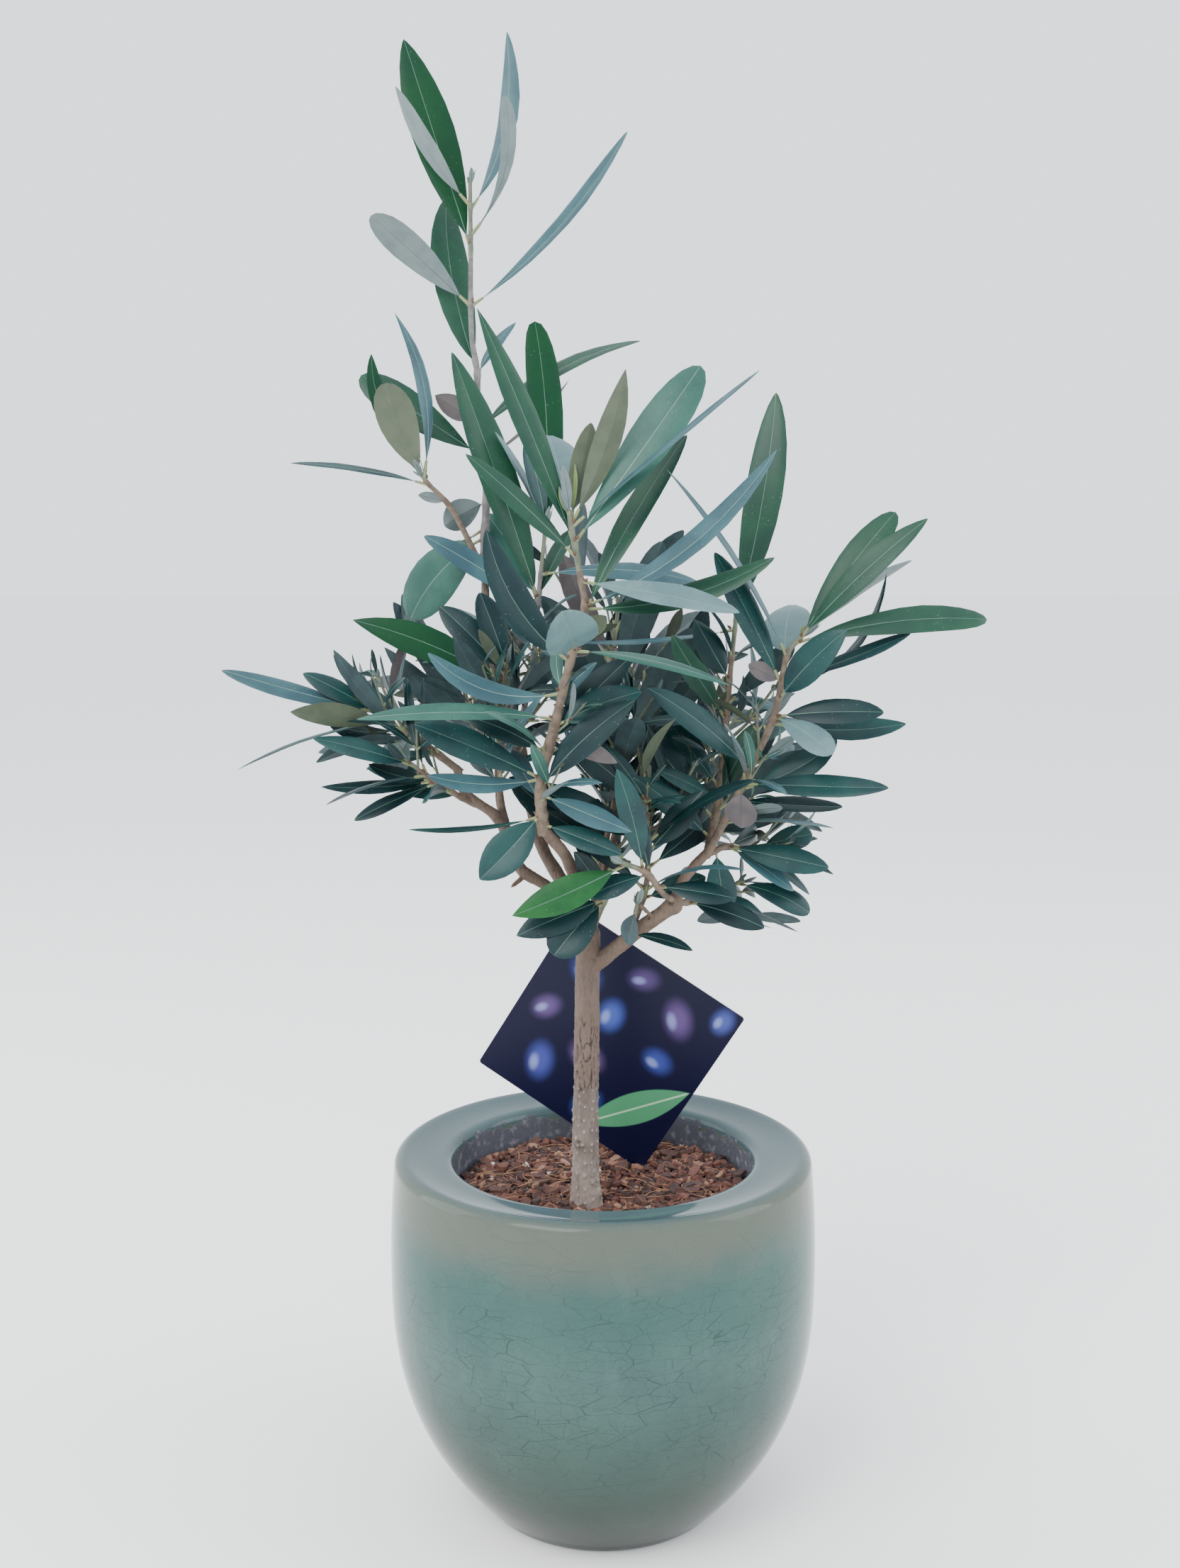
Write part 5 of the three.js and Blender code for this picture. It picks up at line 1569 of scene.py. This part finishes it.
# Size of the young leaves at the end of a shoot, and of a twig
YOUNG_TIPS = {"front_shoot": 1.6, "leader_shoot": 0.6}
PLAIN_TIP = 0.8
TWIG_TIP = 0.45
GREY_STEMS = ("leader_shoot", "upright_shoot")
BUD = dict(least_leaf=22, out=1.3, up=0.5, length=1.9, radius=0.55, stub_length=3.2)
CROWN = {
    "leaves_high": (
        "leader_shoot", "left_upper_shoot", "upright_shoot", "front_shoot", "upper_right_shoot",
    ),
    "leaves_middle": (
        "middle_right_shoot", "right_side_shoot", "right_low_shoot", "knob_shoot", "left_shoot",
        "left_low_shoot", "left_inner_shoot", "centre_shoot", "inner_low_shoot", "fork_shoot",
        "bough_sprig",
    ),
    "leaves_back": ("back_low_shoot", "back_top_shoot", "back_left_shoot", "back_right_shoot"),
}


def leaf_paints(shoot, leaf, high, random):
    """Deals a leaf its upper and under colours, and gives a leading leaf its own."""
    upper = dealt(HIGH_TONES if high else LOW_TONES, random())
    under = dealt(HIGH_UNDER if high else LOW_UNDER, random())
    if "number" in leaf:
        tone, _, leaf["outline"] = LEADING_LEAVES[shoot["name"]].split()[leaf["number"]].partition("/")
        if tone in UNDER_TONES:
            under = tone
        else:
            upper = tone
    if leaf.get("young"):
        upper, under = "young", "silver"
    rib = "dark_rib" if upper in DARK_RIBBED else "rib"
    paints = {"upper": upper, "rib": rib, "under": under, "under_rib": "under_rib"}
    paints = {key: LEAF_NAMES.index(name) for key, name in paints.items()}
    paints["stalk"] = STEM_NAMES.index("stalk_yellow")
    return paints


def leaf_materials():
    made = [
        leaf_finish("leaf_" + name, *tones, 0.42, MATT_GLOSS if name in MATT else LEAF_GLOSS)
        for name, tones in UPPER_TONES.items()
    ]
    made += [plain_finish("leaf_" + name, *tones, 0.62, 6, 0.1) for name, tones in UNDER_TONES.items()]
    return made + plain_finishes(RIB_LOOKS, "leaf_")


def draw_shoot(plant, blades, stems, high, random):
    """Stem, twigs, leaves and buds of one mass of foliage."""
    shoot = plant["shoot"]
    nodes = sorted({round(row[0], 2) for row in shoot["leaves"]})
    gaps = max(shoot["pairs"] - 1, 1)
    nodes += [mix(shoot["start"], shoot["end"], k / gaps) for k in range(shoot["pairs"])]
    woody = "stem_grey" if shoot["name"] in GREY_STEMS else "stem_tan"
    draw_stem(stems, shoot, nodes, STEM_SIDES, woody)
    for twig in plant["twigs"] + plant["sprigs"]:
        draw_stem(stems, twig, (TWIG["start"], 1), TWIG_SIDES, "stem_green")
    ends = [(shoot, YOUNG_TIPS.get(shoot["name"], PLAIN_TIP))]
    ends += [(twig, TWIG_TIP) for twig in plant["twigs"]]
    young = [leaf for stem, scale in ends for leaf in tip_leaves(stem, random, scale)]
    for leaf in plant["leaves"] + young:
        draw_leaf(blades, stems, leaf, leaf_paints(shoot, leaf, high, random), random)
        if not leaf.get("young") and leaf["length"] > BUD["least_leaf"]:
            aim = (leaf["face"] + leaf["aim"]).normalized()
            at = leaf["root"] + leaf["aim"] * BUD["out"] + leaf["face"] * BUD["up"]
            draw_bud(stems, at, aim, BUD["length"], BUD["radius"])


def make_crown():
    plants = grow_shoots()
    grow_sprigs(plants)
    stems = Batch()
    random = seeded_random(901)
    leaf_kinds = leaf_materials()
    for piece_name, shoot_names in CROWN.items():
        blades = Batch()
        for plant in plants:
            if plant["shoot"]["name"] in shoot_names:
                draw_shoot(plant, blades, stems, piece_name == "leaves_high", random)
        piece = blades.build(piece_name, leaf_kinds, 32)
        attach(piece, "root")
        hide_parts(*shoot_names)
    for foot, tip, _, thin in STUBS:
        aim = (Vector(tip) - Vector(foot)).normalized()
        draw_bud(stems, Vector(tip) - aim, aim, BUD["stub_length"], thin * 1.25)
    twigs = stems.build("stems", plain_finishes(STEM_LOOKS))
    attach(twigs, "root")


# Room and camera; each light has its place, size, power and tint
LIGHTS = (
    ("key_light", (-0.9, -1.3, 1.7), (1.2, 1.2), 42, (1, 0.98, 0.96)),
    ("left_light", (-1.5, 0.1, 0.7), (0.9, 1.4), 14, (0.92, 0.96, 1)),
    ("right_light", (1.5, -0.2, 0.8), (0.9, 1.4), 18, (0.94, 0.97, 1)),
)
LIGHT_AIM = Vector((0, 0, 0.25))
ROOM_COLOUR = (238, 245, 252)
ROOM_STRENGTH = 2
FLOOR_RADIUS = 40


def make_room():
    bpy.ops.object.select_all(action="DESELECT")
    bpy.ops.mesh.primitive_circle_add(vertices=96, radius=FLOOR_RADIUS, fill_type="NGON")
    floor = bpy.context.object
    floor.name = "floor"
    floor.data.materials.append(Finish("pale_floor", (252, 250, 247), 0.9).material)
    world = bpy.data.worlds.new("soft_room")
    world.use_nodes = True
    background = world.node_tree.nodes["Background"].inputs
    background["Color"].default_value = srgb(*ROOM_COLOUR)
    background["Strength"].default_value = ROOM_STRENGTH
    bpy.context.scene.world = world
    for name, place, size, power, tint in LIGHTS:
        lamp = bpy.data.lights.new(name, "AREA")
        lamp.shape = "RECTANGLE"
        lamp.size, lamp.size_y = size
        lamp.energy = power
        lamp.color = tint
        light = bpy.data.objects.new(name, lamp)
        light.location = place
        light.rotation_euler = (LIGHT_AIM - Vector(place)).to_track_quat("-Z", "Y").to_euler()
        bpy.context.collection.objects.link(light)


def make_camera():
    ahead = Vector((math.sin(YAW) * math.cos(PITCH), math.cos(YAW) * math.cos(PITCH), -math.sin(PITCH)))
    right = ahead.cross(UP).normalized()
    up = right.cross(ahead)
    right, up = (
        right * math.cos(ROLL) + up * math.sin(ROLL),
        up * math.cos(ROLL) - right * math.sin(ROLL),
    )
    data = bpy.data.cameras.new("camera")
    data.sensor_width = SENSOR
    data.lens = FOCAL_PIXELS / PHOTO_HEIGHT * SENSOR
    data.clip_start = 0.02
    camera = bpy.data.objects.new("camera", data)
    turn = Matrix((right, up, -ahead)).transposed().to_4x4()
    camera.matrix_world = Matrix.Translation(Vector(EYE) * MM) @ turn
    bpy.context.collection.objects.link(camera)
    bpy.context.scene.camera = camera


make_camera()
make_pot()
make_soil()
make_chips()
make_card()
make_bark()
make_crown()
make_room()
